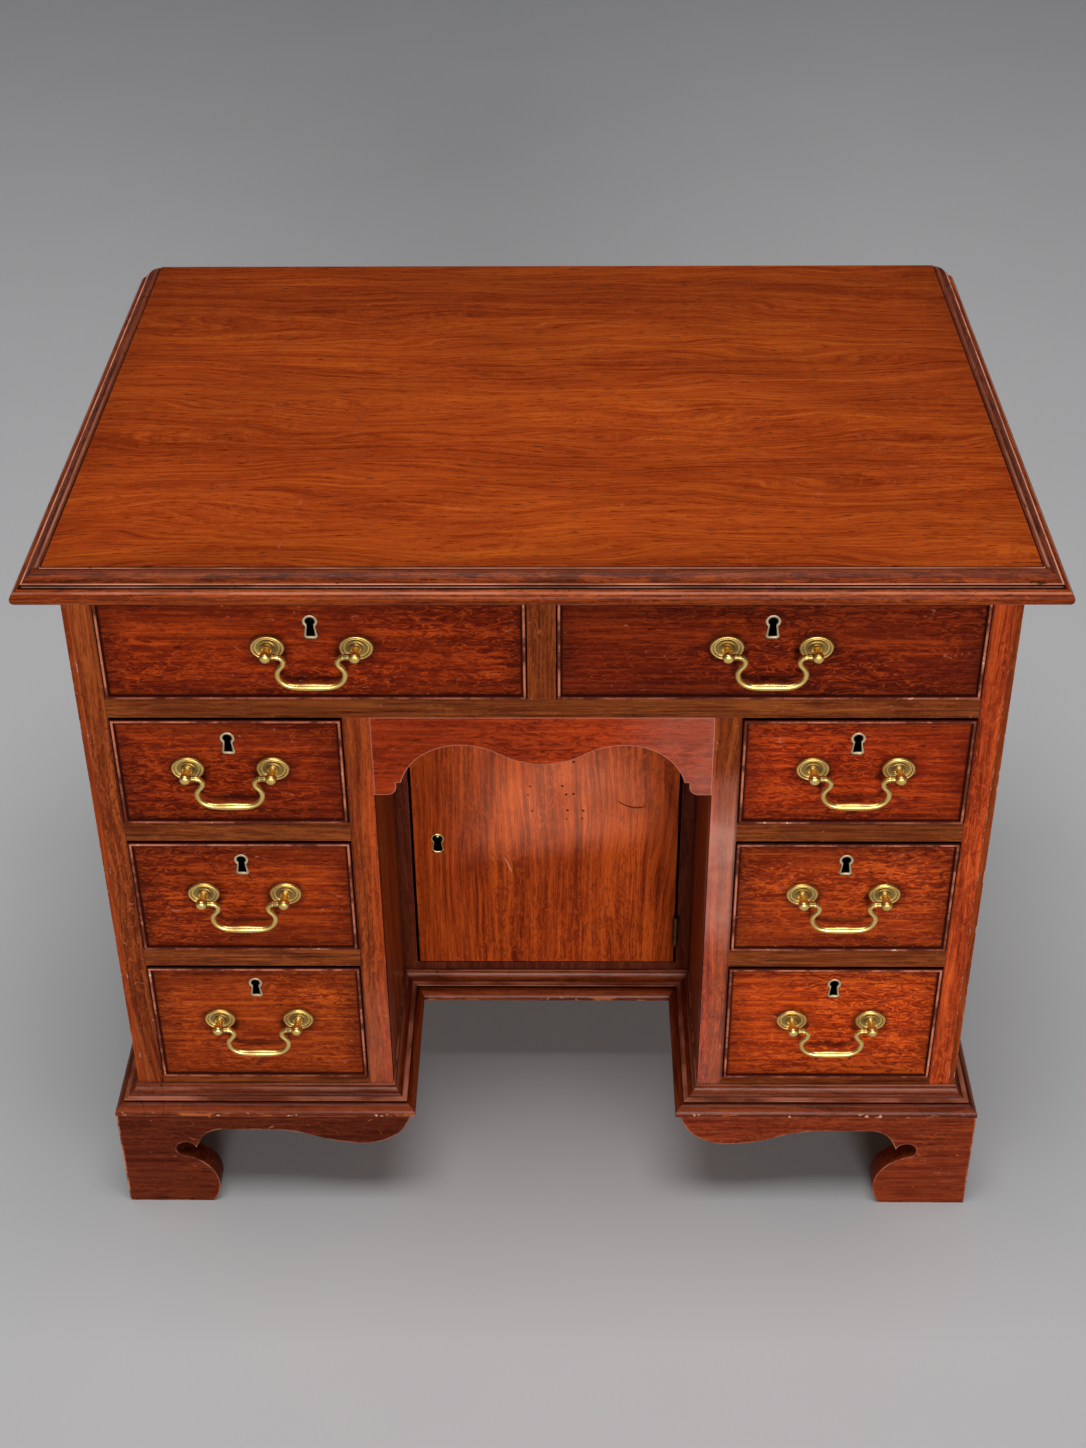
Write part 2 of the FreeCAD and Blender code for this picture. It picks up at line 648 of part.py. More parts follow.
def make_apron():
    """Two lobes, a centre drop, and a cusp and a rounded end at each side."""
    top = PEDESTAL_TOP
    lobe = (APRON_LOBE_X, top - APRON_LOBE_DEPTH)
    centre = (0, top - APRON_CENTRE_DEPTH)
    cusp = (KNEE - APRON_CUSP_INSET, top - APRON_STEP_DEPTH)
    step = (cusp[0] + APRON_STEP, cusp[1])
    end_z = top - APRON_END_DEPTH
    round_start = (step[0], end_z + APRON_END_ROUND)
    round_end = (step[0] + APRON_END_ROUND, end_z)
    round_via = on_circle((round_end[0], round_start[1]), APRON_END_ROUND, 225)
    moves = ogee(centre, lobe)
    moves += [(arc_from_level(lobe, cusp), cusp), step, round_start, (round_via, round_end)]
    moves += [(KNEE, end_z), (KNEE, top), (0, top)]
    half = Part.Face(outline(lambda x, z: V(x, FRONT, z), centre, moves))
    solid = half.extrude(V(0, APRON_THICKNESS, 0))
    return {"apron": [fused(solid, mirrored(solid))]}


def barrel(radius, low, high):
    """A length of the hinge's round barrel or pin."""
    return prism(lambda u, w, z: V(HINGE_X + u, HINGE_Y + w, z), HINGE_SIDES, radius, low, high)


def leaf_plate(foot, side):
    """The flat of one leaf. side is 1 on the frame and -1 on the door."""
    near = HINGE_X + side * LEAF_GAP / 2
    far = near + side * LEAF_THICKNESS
    start = HINGE_Y + KNUCKLE_RADIUS + KNUCKLE_GAP
    end = CUPBOARD_Y + LEAF_WIDTH
    return box(min(near, far), max(near, far), start, end, foot, foot + HINGE_HEIGHT)


def hinge_leaf(foot, side, spans):
    """A leaf's plate and its knuckles."""
    plate = leaf_plate(foot, side)
    flat = plate.BoundBox
    parts = []
    for low, high in spans:
        parts.append(box(flat.XMin, flat.XMax, HINGE_Y, flat.YMin, low, high))
        parts.append(barrel(KNUCKLE_RADIUS, low, high))
    return fused(plate, *parts)


def hinge(foot):
    """The frame's leaf with the pin fixed in it, and the door's leaf that turns on the pin."""
    third = HINGE_HEIGHT / 3
    top = foot + HINGE_HEIGHT
    frame_spans = [(foot, foot + third - KNUCKLE_GAP), (foot + 2 * third + KNUCKLE_GAP, top)]
    frame_leaf = fused(hinge_leaf(foot, 1, frame_spans), barrel(HINGE_PIN_RADIUS, foot, top))
    bore = (HINGE_PIN_RADIUS + HINGE_PIN_CLEARANCE) / math.cos(math.pi / HINGE_SIDES)
    door_leaf = hinge_leaf(foot, -1, [(foot + third, foot + 2 * third)])
    return frame_leaf, door_leaf.cut(barrel(bore, foot, top)).Solids[0]


def make_cupboard():
    """The cupboard's frame, its door, the two butt hinges and the door's lock."""
    frame_plates = [leaf_plate(foot, 1) for foot in HINGE_FEET]
    door_plates = [leaf_plate(foot, -1) for foot in HINGE_FEET]
    inside = KNEE - CUPBOARD_STILE
    frame_y = CUPBOARD_Y + FRAME_DEPTH
    stile = box(inside, KNEE, CUPBOARD_Y, frame_y, LOWER_Z, KNEEHOLE_CEILING)
    head = box(-inside, inside, CUPBOARD_Y, frame_y, DOOR_TOP, KNEEHOLE_CEILING)
    sill = box(-KNEE, KNEE, CUPBOARD_Y, frame_y, FOOT_HEIGHT, LOWER_Z)
    frame = [mirrored(stile), stile.cut(frame_plates).Solids[0], head, sill]

    lock_x = DOOR_LOCK_INSET - DOOR_EDGE
    lock_z = LOWER_Z + DOOR_LOCK_HEIGHT
    door_y = CUPBOARD_Y + DOOR_THICKNESS
    door = box(-DOOR_EDGE, DOOR_EDGE, CUPBOARD_Y, door_y, LOWER_Z + DOOR_GAP, DOOR_TOP - DOOR_GAP)
    door = door.cut(door_plates + [keyhole_cut(lock_x, lock_z, CUPBOARD_Y, DOOR_THICKNESS)]).Solids[0]
    leaves = [hinge(foot) for foot in HINGE_FEET]

    case_x = DOOR_LOCK_EDGE - DOOR_EDGE
    case_low = lock_z - DOOR_LOCK_TALL / 2
    case_end = door_y + LOCK_THICKNESS
    case = box(case_x, case_x + DOOR_LOCK_WIDTH, door_y, case_end, case_low, case_low + DOOR_LOCK_TALL)
    return {
        "cupboard_frame": frame,
        "cupboard_hinge_leaves": [frame_leaf for frame_leaf, _ in leaves],
        "door_panel": [door],
        "door_hinge_leaves": [door_leaf for _, door_leaf in leaves],
        "door_escutcheon": [escutcheon(lock_x, lock_z, CUPBOARD_Y)],
        "door_lock": [fused(case, key_pin(lock_x, lock_z, CUPBOARD_Y, case_end))],
    }


# Locks

def keyhole(x, z, y0, y1, wall):
    """A keyhole-shaped prism: a round bow over a flared skirt, grown by a wall."""
    bow = (0, KEYHOLE_BOW_RISE)
    profile = [on_circle(bow, KEYHOLE_BOW + wall, degrees) for degrees in KEYHOLE_BOW_TURNS]
    low = -KEYHOLE_TAIL - wall
    profile += [(-KEYHOLE_SKIRT - wall, low), (KEYHOLE_SKIRT + wall, low)]
    return polygon([V(x + u, y0, z + v) for u, v in profile]).extrude(V(0, y1 - y0, 0))


def keyhole_cut(x, z, face_y, thickness):
    """What is cut from a front for its escutcheon, through to the lock."""
    wall = ESCUTCHEON_WALL + ESCUTCHEON_CLEARANCE
    return keyhole(x, z, face_y - OVERCUT, face_y + thickness + OVERCUT, wall)


def escutcheon(x, z, face_y):
    """A brass keyhole lining, let into the front."""
    near = face_y - ESCUTCHEON_PROUD
    far = face_y + ESCUTCHEON_DEPTH
    rim = keyhole(x, z, near, far, ESCUTCHEON_WALL)
    return rim.cut(keyhole(x, z, near - OVERCUT, far + OVERCUT, 0)).Solids[0]


def key_pin(x, z, face_y, case_end):
    """The pin that the barrel of the key turns on."""
    at = z + KEYHOLE_BOW_RISE
    tip = face_y + KEY_PIN_SETBACK
    return prism(lambda u, w, y: V(x + u, y, at + w), KEY_PIN_SIDES, KEY_PIN, tip, case_end)


# Drawers

def drawer_sizes(name):
    """Outer limits of a drawer, and the places of its handle and keyhole."""
    x0, x1, floor, height = DRAWERS[name]
    low = floor + DRAWER_RUN_CLEARANCE
    high = floor + height - DRAWER_TOP_GAP
    return {
        "x0": x0 + DRAWER_GAP,
        "x1": x1 - DRAWER_GAP,
        "z0": low,
        "z1": high,
        "side_top": high - DRAWER_SIDE_DROP,
        "middle": (x0 + x1) / 2,
        "handle_z": floor + height * (1 - HANDLE_DROP_SHARE),
        "keyhole_z": floor + height - KEYHOLE_DROP,
    }


def tails(size, x0, x1, root, tip):
    """Dovetails on the end of a drawer side, wider at their tips than at their roots."""
    height = size["side_top"] - size["z0"]
    count = max(2, round(height / TAIL_PITCH))
    pitch = height / count
    tip_half = (pitch - PIN_WIDTH) / 2
    root_half = tip_half - TAIL_SLOPE * abs(tip - root)
    out = []
    for index in range(count):
        middle = size["z0"] + (index + 0.5) * pitch
        corners = [
            V(x0, root, middle - root_half),
            V(x0, tip, middle - tip_half),
            V(x0, tip, middle + tip_half),
            V(x0, root, middle + root_half),
        ]
        out.append(polygon(corners).extrude(V(x1 - x0, 0, 0)))
    return out


def bottom_board(size):
    """The drawer's bottom, which runs in grooves in the sides and the front."""
    inset = DRAWER_SIDE - DRAWER_GROOVE
    low = size["z0"] + DRAWER_BOTTOM_RISE
    start = FRONT + DRAWER_FRONT - DRAWER_GROOVE
    return box(size["x0"] + inset, size["x1"] - inset, start, DRAWER_END, low, low + DRAWER_BOTTOM)


def bead_section(place):
    """A cock-bead strip with a softened nose that stands proud of the front."""
    shoulder = BEAD_PROUD - BEAD_CHAMFER
    return outline(place, (0, -BEAD_REBATE), [
        (BEAD_THICKNESS, -BEAD_REBATE),
        (BEAD_THICKNESS, shoulder),
        (BEAD_THICKNESS - BEAD_CHAMFER, BEAD_PROUD),
        (BEAD_CHAMFER, BEAD_PROUD),
        (0, shoulder),
    ])


def cock_beads(size):
    """Four mitred strips round the edges of a drawer front."""
    x0 = size["x0"] + BEAD_THICKNESS
    x1 = size["x1"] - BEAD_THICKNESS
    z0 = size["z0"] + BEAD_THICKNESS
    z1 = size["z1"] - BEAD_THICKNESS
    corners = [V(x0, FRONT, z0), V(x1, FRONT, z0), V(x1, FRONT, z1), V(x0, FRONT, z1)]
    outward = [V(0, 0, -1), V(1, 0, 0), V(0, 0, 1), V(-1, 0, 0)]
    limits = (BEAD_THICKNESS, -BEAD_REBATE, BEAD_PROUD)
    strips = []
    for index, out in enumerate(outward):
        start = corners[index]
        end = corners[(index + 1) % 4]
        strips.append(mitred_run(bead_section, start, end, out, V(0, -1, 0), (1, 1), limits))
    return strips


def drawer_front(size):
    """The front board, rebated for its cock-beads and socketed for the sides' dovetails."""
    back = FRONT + DRAWER_FRONT
    rebate_y = FRONT + BEAD_REBATE
    x0, x1, z0, z1 = size["x0"], size["x1"], size["z0"], size["z1"]
    board = box(x0, x1, rebate_y, back, z0, z1)
    edge = BEAD_THICKNESS
    face = box(x0 + edge, x1 - edge, FRONT, rebate_y, z0 + edge, z1 - edge)
    waste = [bottom_board(size)]
    for start, end in side_spans(size):
        waste += tails(size, start, end, back, FRONT + DRAWER_LAP)
    for x in post_places(size):
        waste.append(shank(x, size["handle_z"], FRONT - OVERCUT, back + OVERCUT, SHANK_CLEARANCE))
    waste.append(keyhole_cut(size["middle"], size["keyhole_z"], FRONT, DRAWER_FRONT))
    return [fused(board, face).cut(waste).Solids[0]] + cock_beads(size)


def side_spans(size):
    """Where the two drawer sides lie, left to right."""
    return (size["x0"], size["x0"] + DRAWER_SIDE), (size["x1"] - DRAWER_SIDE, size["x1"])


def drawer_box(size):
    """Sides dovetailed into the front, a back between them and a bottom in grooves."""
    bottom = bottom_board(size)
    root = FRONT + DRAWER_FRONT
    low, high = size["z0"], size["side_top"]
    solids = [bottom]
    for x0, x1 in side_spans(size):
        side = box(x0, x1, root, DRAWER_END, low, high)
        front_tails = tails(size, x0, x1, root, FRONT + DRAWER_LAP)
        solids.append(fused(side, *front_tails).cut(bottom).Solids[0])
    back_low = low + DRAWER_BOTTOM_RISE + DRAWER_BOTTOM
    inner, outer = size["x0"] + DRAWER_SIDE, size["x1"] - DRAWER_SIDE
    solids.append(box(inner, outer, DRAWER_END - DRAWER_BACK, DRAWER_END, back_low, high))
    return solids


# Handles

def post_places(size):
    """The two handle posts, left to right."""
    return size["middle"] - HANDLE_CENTRES / 2, size["middle"] + HANDLE_CENTRES / 2


def shank(x, z, y0, y1, clearance):
    """The square shank that keeps a post from turning in the front."""
    half = SHANK / 2 + clearance
    return box(x - half, x + half, y0, y1, z - half, z + half)


def rose(x, z):
    """A dished oval plate with a raised rim, pierced for the shank."""
    profile = [
        (ROSE_RADIUS, 0),
        (ROSE_RADIUS, ROSE_EDGE),
        (ROSE_CREST_RADIUS, ROSE_HEIGHT),
        (ROSE_DISH_RADIUS, ROSE_SEAT),
    ]
    place = out_of(x, z, ROSE_TALL_SHARE)
    plate = faceted([ring(place, ROSE_SIDES, radius, depth) for radius, depth in profile])
    hole = shank(x, z, FRONT - ROSE_HEIGHT - OVERCUT, FRONT + OVERCUT, SHANK_CLEARANCE)
    return plate.cut(hole).Solids[0]


def out_of(x, z, tall_share=1.0):
    """Places round an axis that runs out of the drawer front."""
    return lambda u, w, depth: V(x + u, FRONT - depth, z + w * tall_share)


def post(x, z):
    """A post with a collar, a neck and a head bored across for the bail."""
    head_start = POST_REACH - POST_HEAD_HALF
    head_end = POST_REACH + POST_HEAD_HALF
    profile = [
        (POST_COLLAR, ROSE_SEAT),
        (POST_NECK, POST_NECK_START),
        (POST_NECK, POST_NECK_END),
        (POST_HEAD, head_start),
        (POST_HEAD, head_end),
        (POST_TIP, head_end + POST_TIP_LENGTH),
    ]
    body = faceted([ring(out_of(x, z), POST_SIDES, radius, depth) for radius, depth in profile])
    stem = shank(x, z, FRONT - ROSE_SEAT, FRONT + DRAWER_FRONT + SHANK_END, 0)
    bore = (BAIL_PIN + BAIL_PIN_CLEARANCE) / math.cos(math.pi / BAIL_SIDES)
    reach = POST_HEAD + OVERCUT
    hole = prism(lambda u, w, a: V(x + a, FRONT - POST_REACH + w, z + u), BAIL_SIDES, bore, -reach, reach)
    return fused(body, stem).cut(hole).Solids[0]


def drawer_fittings(size):
    """Roses, posts, escutcheon and lock of one drawer."""
    solids = []
    for x in post_places(size):
        solids += [rose(x, size["handle_z"]), post(x, size["handle_z"])]
    middle = size["middle"]
    back = FRONT + DRAWER_FRONT
    half = LOCK_WIDTH / 2
    top = size["z1"] - LOCK_TOP_MARGIN
    solids.append(escutcheon(middle, size["keyhole_z"], FRONT))
    solids.append(box(middle - half, middle + half, back, back + LOCK_THICKNESS, top - LOCK_HEIGHT, top))
    return solids


def arc_stations(centre, radius, start, end, steps, wire):
    """Corners along an arc, as stations of the bail's path."""
    out = []
    for step in range(steps + 1):
        a, b = on_circle(centre, radius, start + (end - start) * step / steps)
        out.append((a, b, wire))
    return out


def bail_path():
    """Stations of the bail, across, up and radius, from the right pin to the left one."""
    head_flat = POST_HEAD * math.cos(math.pi / POST_SIDES)
    stub_end = HANDLE_CENTRES / 2 - head_flat - BAIL_STUB_GAP
    pin_end = HANDLE_CENTRES / 2 + head_flat + BAIL_PIN_END
    neck_centre = (BAIL_NECK_X + BAIL_NECK_RADIUS, -BAIL_NECK_RADIUS)
    corner = BAIL_DROP - BAIL_BELLY_DROP
    corner_centre = (BAIL_BELLY_X - corner, -BAIL_BELLY_DROP)
    half = [
        (pin_end, 0, BAIL_PIN),
        (stub_end, 0, BAIL_PIN),
        (stub_end, 0, BAIL_STUB),
        (stub_end - BAIL_STUB_LENGTH, 0, BAIL_STUB),
    ]
    half += arc_stations(neck_centre, BAIL_NECK_RADIUS, 90, 180, BAIL_NECK_STEPS, BAIL_WIRE)
    half += arc_stations(corner_centre, corner, 0, -90, BAIL_CORNER_STEPS, BAIL_WIRE)
    half.append((BAIL_GRIP_HALF, -BAIL_DROP, BAIL_GRIP))
    return half + [(-a, b, radius) for a, b, radius in reversed(half)]


def bail(size):
    """A swan-neck bail: pins in the posts, scrolled necks and a swelling grip."""
    centre = V(size["middle"], FRONT - POST_REACH, size["handle_z"])
    path = bail_path()
    rings = []
    for index, (a, b, radius) in enumerate(path):
        before = [spot for spot in path[:index] if spot[:2] != (a, b)]
        after = [spot for spot in path[index + 1:] if spot[:2] != (a, b)]
        start = before[-1] if before else (a, b)
        end = after[0] if after else (a, b)
        heading_in = math.atan2(b - start[1], a - start[0])
        heading_out = math.atan2(end[1] - b, end[0] - a)
        if not before:
            heading_in = heading_out
        if not after:
            heading_out = heading_in
        half_turn = math.remainder(heading_out - heading_in, 2 * math.pi) / 2
        heading = heading_in + half_turn
        across = V(-math.sin(heading), 0, math.cos(heading)) * (1 / math.cos(half_turn))
        spot = centre + V(a, 0, b)
        rings.append(ring(lambda u, w, _: spot + across * u + V(0, w, 0), BAIL_SIDES, radius, 0))
    return [faceted(rings)]


def make_drawers():
    """Every drawer: front, box, fittings and bail."""
    nodes = {}
    for name in DRAWERS:
        size = drawer_sizes(name)
        nodes[name + "_drawer_front"] = drawer_front(size)
        nodes[name + "_drawer_box"] = drawer_box(size)
        nodes[name + "_drawer_fittings"] = drawer_fittings(size)
        nodes[name + "_bail"] = bail(size)
    return nodes


def main():
    """Build every piece and write one file per node."""
    os.makedirs("parts", exist_ok=True)
    carcass = (make_top, make_sides, make_front_frame, make_inside, make_plinth, make_feet)
    for maker in carcass + (make_apron, make_cupboard, make_drawers):
        for node, solids in maker().items():
            shape = solids[0] if len(solids) == 1 else Part.makeCompound(solids)
            shape.exportStep("parts/" + node + ".step")


main()
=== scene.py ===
"""A kneehole desk in worn polished mahogany, with brass swan-neck handles, seen from high in front."""
import json
import math

import bmesh
import bpy
from mathutils import Matrix, Vector


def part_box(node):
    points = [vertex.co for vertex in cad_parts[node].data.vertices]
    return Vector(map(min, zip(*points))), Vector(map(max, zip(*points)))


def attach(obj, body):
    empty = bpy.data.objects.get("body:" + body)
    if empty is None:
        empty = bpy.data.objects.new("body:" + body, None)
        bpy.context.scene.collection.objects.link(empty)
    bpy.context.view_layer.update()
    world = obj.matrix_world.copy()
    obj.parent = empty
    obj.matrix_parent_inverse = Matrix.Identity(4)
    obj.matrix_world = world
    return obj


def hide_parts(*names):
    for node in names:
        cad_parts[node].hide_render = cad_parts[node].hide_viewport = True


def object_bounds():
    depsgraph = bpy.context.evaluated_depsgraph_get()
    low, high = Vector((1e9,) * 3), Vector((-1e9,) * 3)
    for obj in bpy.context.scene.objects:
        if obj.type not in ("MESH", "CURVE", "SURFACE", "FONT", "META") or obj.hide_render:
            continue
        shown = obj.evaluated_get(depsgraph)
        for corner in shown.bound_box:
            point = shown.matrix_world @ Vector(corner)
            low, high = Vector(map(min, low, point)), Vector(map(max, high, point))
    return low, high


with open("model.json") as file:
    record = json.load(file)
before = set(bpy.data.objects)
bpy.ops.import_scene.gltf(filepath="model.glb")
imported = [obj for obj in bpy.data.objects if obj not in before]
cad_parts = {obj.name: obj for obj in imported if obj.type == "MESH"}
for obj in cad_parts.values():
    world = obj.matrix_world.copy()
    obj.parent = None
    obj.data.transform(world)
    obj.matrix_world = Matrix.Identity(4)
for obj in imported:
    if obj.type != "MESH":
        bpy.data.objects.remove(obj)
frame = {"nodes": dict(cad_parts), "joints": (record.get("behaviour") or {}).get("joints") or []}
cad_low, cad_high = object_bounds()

MM = 0.001
IMAGE_HEIGHT = 1448

# Places in the frame, in metres
FRONT_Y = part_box("front_stiles")[0].y
DOOR_FACE_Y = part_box("door_panel")[0].y
DRAWER_FRONT_THICKNESS = 22 * MM
DRAWER_BACK_Y = FRONT_Y + DRAWER_FRONT_THICKNESS
KEYHOLE_BELOW_EDGE = 26.7 * MM
DOOR_PIN_X, DOOR_PIN_Z = -109.5 * MM, 330.6 * MM  # the pin that the door's key turns on
DRAWER_NAMES = [name[:-len("_drawer_front")] for name in frame["nodes"] if name.endswith("_drawer_front")]
PIVOTS = {j["name"]: Vector(j["pos_m"]) for j in frame["joints"] if "pos_m" in j}


# Meshes

def join_rings(bm, first, second):
    """Faces between two closed rings, or between a ring and a point."""
    count = max(len(first), len(second))
    for k in range(count):
        n = (k + 1) % count
        corners = [first[k % len(first)], first[n % len(first)]]
        corners += [second[n % len(second)], second[k % len(second)]]
        corners = [v for i, v in enumerate(corners) if v not in corners[:i]]
        bm.faces.new(corners)


def lathe(bm, profile, segments, place):
    """Turns a profile of (radius, distance) pairs. place takes across, up and distance."""
    rings = []
    for radius, reach in profile:
        if radius == 0:
            rings.append([bm.verts.new(place(0, 0, reach))])
            continue
        spots = []
        for k in range(segments):
            turn = math.tau * k / segments
            spots.append(bm.verts.new(place(radius * math.cos(turn), radius * math.sin(turn), reach)))
        rings.append(spots)
    for first, second in zip(rings, rings[1:]):
        join_rings(bm, first, second)


def rounded_block(bm, low, high, radius):
    """A block with its edges eased, in metres."""
    made = bmesh.ops.create_cube(bm, size=1.0)["verts"]
    size = Vector(high) - Vector(low)
    middle = (Vector(high) + Vector(low)) / 2
    for v in made:
        v.co = Vector((v.co.x * size.x, v.co.y * size.y, v.co.z * size.z)) + middle
    edges = list({e for v in made for e in v.link_edges})
    bmesh.ops.bevel(bm, geom=edges, offset=radius, segments=2, profile=0.6, affect="EDGES")


def finished_mesh(name, bm, sharp_degrees=40):
    """The bmesh as a smooth-shaded mesh that keeps its sharp edges."""
    bmesh.ops.recalc_face_normals(bm, faces=bm.faces)
    mesh = bpy.data.meshes.new(name)
    bm.to_mesh(mesh)
    bm.free()
    mesh.shade_smooth()
    mesh.set_sharp_from_angle(angle=math.radians(sharp_degrees))
    return mesh


def piece(name, mesh, material, body, at=(0, 0, 0), stands_for=()):
    """Places a mesh, gives it a material and lets it ride on a body."""
    made = bpy.data.objects.new(name, mesh)
    bpy.context.scene.collection.objects.link(made)
    made.location = at
    if not mesh.materials:
        mesh.materials.append(material)
    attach(made, body)
    if stands_for:
        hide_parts(*stands_for)
    return made


# Brass fittings, in millimetres until they are placed

HANDLE_HALF = 38.0
ROSE_TALL_SHARE = 0.84
ROSE_PROFILE = [
    (0.0, 0.0), (15.0, 0.0), (15.0, 0.7), (14.9, 1.2), (14.5, 2.0), (14.0, 2.6), (13.3, 2.9),
    (12.6, 2.75), (12.1, 2.3), (11.8, 1.85), (11.4, 1.7), (10.9, 1.9), (10.4, 1.95), (9.9, 1.65),
    (9.5, 1.3), (8.6, 1.1), (7.4, 1.1), (6.6, 1.25), (6.1, 1.55), (5.6, 1.65), (0.0, 1.65),
]
POST_PROFILE = [
    (0.0, 1.2), (5.5, 1.2), (5.5, 2.0), (5.2, 2.7), (4.6, 3.0), (4.3, 3.2), (4.4, 3.7),
    (4.0, 4.2), (3.5, 4.7), (3.3, 5.6), (3.3, 7.2), (3.5, 8.8), (3.9, 10.2), (4.5, 11.3),
    (4.9, 12.3), (5.0, 13.6), (5.0, 16.2), (4.8, 17.5),
    (4.2, 18.7), (3.1, 19.4), (1.6, 19.7), (0.0, 19.75),
]
NUT_PROFILE = [
    (0.0, 21.9), (5.4, 21.9), (6.0, 22.4), (6.0, 24.6), (5.3, 25.4), (3.2, 25.5), (2.5, 26.0),
    (2.4, 27.6), (0.0, 27.8),
]
BAIL_HALF = [
    (42.9, 0.0, 1.85), (38.0, 0.0, 1.85), (33.8, 0.0, 1.9), (33.4, 0.0, 2.6), (32.7, 0.0, 2.95),
    (31.0, 0.0, 2.9),
    (28.8, -0.1, 2.75), (26.2, -0.8, 2.6), (23.9, -2.8, 2.5), (23.0, -5.6, 2.45), (24.2, -9.0, 2.5),
    (27.0, -12.4, 2.5), (28.9, -16.6, 2.55), (28.5, -21.2, 2.6), (26.2, -25.6, 2.65), (22.2, -29.0, 2.8),
    (17.4, -30.7, 3.0), (12.4, -31.2, 3.3), (7.5, -31.2, 3.6), (3.0, -31.1, 3.8),
]
LEAF_THICKNESS = 1.75
HINGE_HEIGHT = 39.0


def out_from_face(x):
    """Places in mm on an axis that runs out of a front at x, as metres."""
    return lambda across, up, reach: Vector(((x + across) * MM, -reach * MM, up * MM))


def oval_on_face(x):
    """The same for a plate that is wider than it is tall."""
    return lambda across, up, reach: Vector(((x + across) * MM, -reach * MM, up * ROSE_TALL_SHARE * MM))


def into_drawer(x):
    """The same, running backwards through the front."""
    return lambda across, up, reach: Vector(((x + across) * MM, reach * MM, up * MM))


def handle_mesh():
    """Two roses with their posts, and the nuts that hold them inside the drawer."""
    bm = bmesh.new()
    for x in (-HANDLE_HALF, HANDLE_HALF):
        lathe(bm, ROSE_PROFILE, 56, oval_on_face(x))
        lathe(bm, POST_PROFILE, 32, out_from_face(x))
        lathe(bm, NUT_PROFILE, 24, into_drawer(x))
    return finished_mesh("handle_mount", bm, 60)


def spline(points, steps):
    """A smooth line through points of any size."""
    line = []
    ends = [points[0]] + points + [points[-1]]
    for a, b, c, d in zip(ends, ends[1:], ends[2:], ends[3:]):
        for k in range(steps):
            t = k / steps
            line.append(tuple(
                0.5 * (2 * q + (r - p) * t + (2 * p - 5 * q + 4 * r - s) * t * t
                       + (3 * q - p - 3 * r + s) * t ** 3)
                for p, q, r, s in zip(a, b, c, d)
            ))
    line.append(points[-1])
    return line


def bail_mesh():
    """The swan-neck bail, hung from its pins."""
    stations = spline(BAIL_HALF + [(-a, b, r) for a, b, r in reversed(BAIL_HALF)], 5)
    bm = bmesh.new()
    sides = 20
    rings = []
    for k, (a, b, radius) in enumerate(stations):
        before = stations[max(k - 1, 0)]
        after = stations[min(k + 1, len(stations) - 1)]
        heading = math.atan2(after[1] - before[1], after[0] - before[0])
        across = Vector((-math.sin(heading), 0, math.cos(heading)))
        ring = []
        for s in range(sides):
            turn = math.tau * s / sides
            spot = Vector((a, radius * math.sin(turn), b)) + across * (radius * math.cos(turn))
            ring.append(bm.verts.new(spot * MM))
        rings.append(ring)
    for first, second in zip(rings, rings[1:]):
        join_rings(bm, first, second)
    bm.faces.new(rings[0])
    bm.faces.new(rings[-1])
    return finished_mesh("bail", bm, 60)


def keyhole_outline(grow, ease):
    """Corners of a keyhole, a round bow over a skirt, grown by a wall. ease rounds the skirt's foot."""
    bow, rise, skirt, tail = 4.0 + grow, 5.6, 3.5 + grow, 9.4 + grow
    corners = []
    for k in range(21):
        turn = math.radians(-50 + 280 * k / 20)
        corners.append((bow * math.cos(turn), rise + bow * math.sin(turn)))
    for side, start in ((-1, 180), (1, 270)):
        for k in range(6):
            turn = math.radians(start + 90 * k / 5)
            middle = side * (skirt - ease)
            corners.append((middle + ease * math.cos(turn), -tail + ease + ease * math.sin(turn)))
    return corners


def lining_mesh(name, hole, ease):
    """A cast keyhole lining with an eased rim. hole is how far its opening is grown."""
    bm = bmesh.new()
    rings = []
    outside = [(2.6, 6.0), (2.6, 0.0), (2.4, -0.3), (2.0, -0.4)]
    inside = [(hole + 0.7, -0.4), (hole + 0.25, -0.1), (hole, 0.5), (hole, 6.0)]
    for grow, depth in outside + inside:
        outline = keyhole_outline(grow, ease + 0.5 * grow)
        rings.append([bm.verts.new(Vector((u, depth, v)) * MM) for u, v in outline])
    for first, second in zip(rings, rings[1:] + rings[:1]):
        join_rings(bm, first, second)
    return finished_mesh(name, bm, 45)


def dome(bm, at, normal, radius, rise):
    """A low domed head of a screw or nail, in metres."""
    turn = Vector((0, 0, 1)).rotation_difference(Vector(normal)).to_matrix()
    profile = [
        (0, -rise), (radius, -rise), (radius, 0.3 * rise), (radius * 0.75, 0.75 * rise),
        (radius * 0.35, rise), (0, 1.05 * rise),
    ]
    lathe(bm, profile, 14, lambda u, v, w: Vector(at) + turn @ Vector((u, v, w)))


def lock_mesh():
    """A drawer lock's case with its screws and a bolt drawn back, from the middle of its top edge."""
    bm = bmesh.new()
    rounded_block(bm, (-27 * MM, 0, -42 * MM), (27 * MM, 10.2 * MM, -0.4 * MM), 0.9 * MM)
    rounded_block(bm, (-9 * MM, 1.5 * MM, -3 * MM), (9 * MM, 7 * MM, 0), 0.4 * MM)
    for x in (-22, 22):
        for z in (-6, -36):
            dome(bm, (x * MM, 10.2 * MM, z * MM), (0, 1, 0), 2.6 * MM, 0.6 * MM)
    return finished_mesh("drawer_lock", bm)


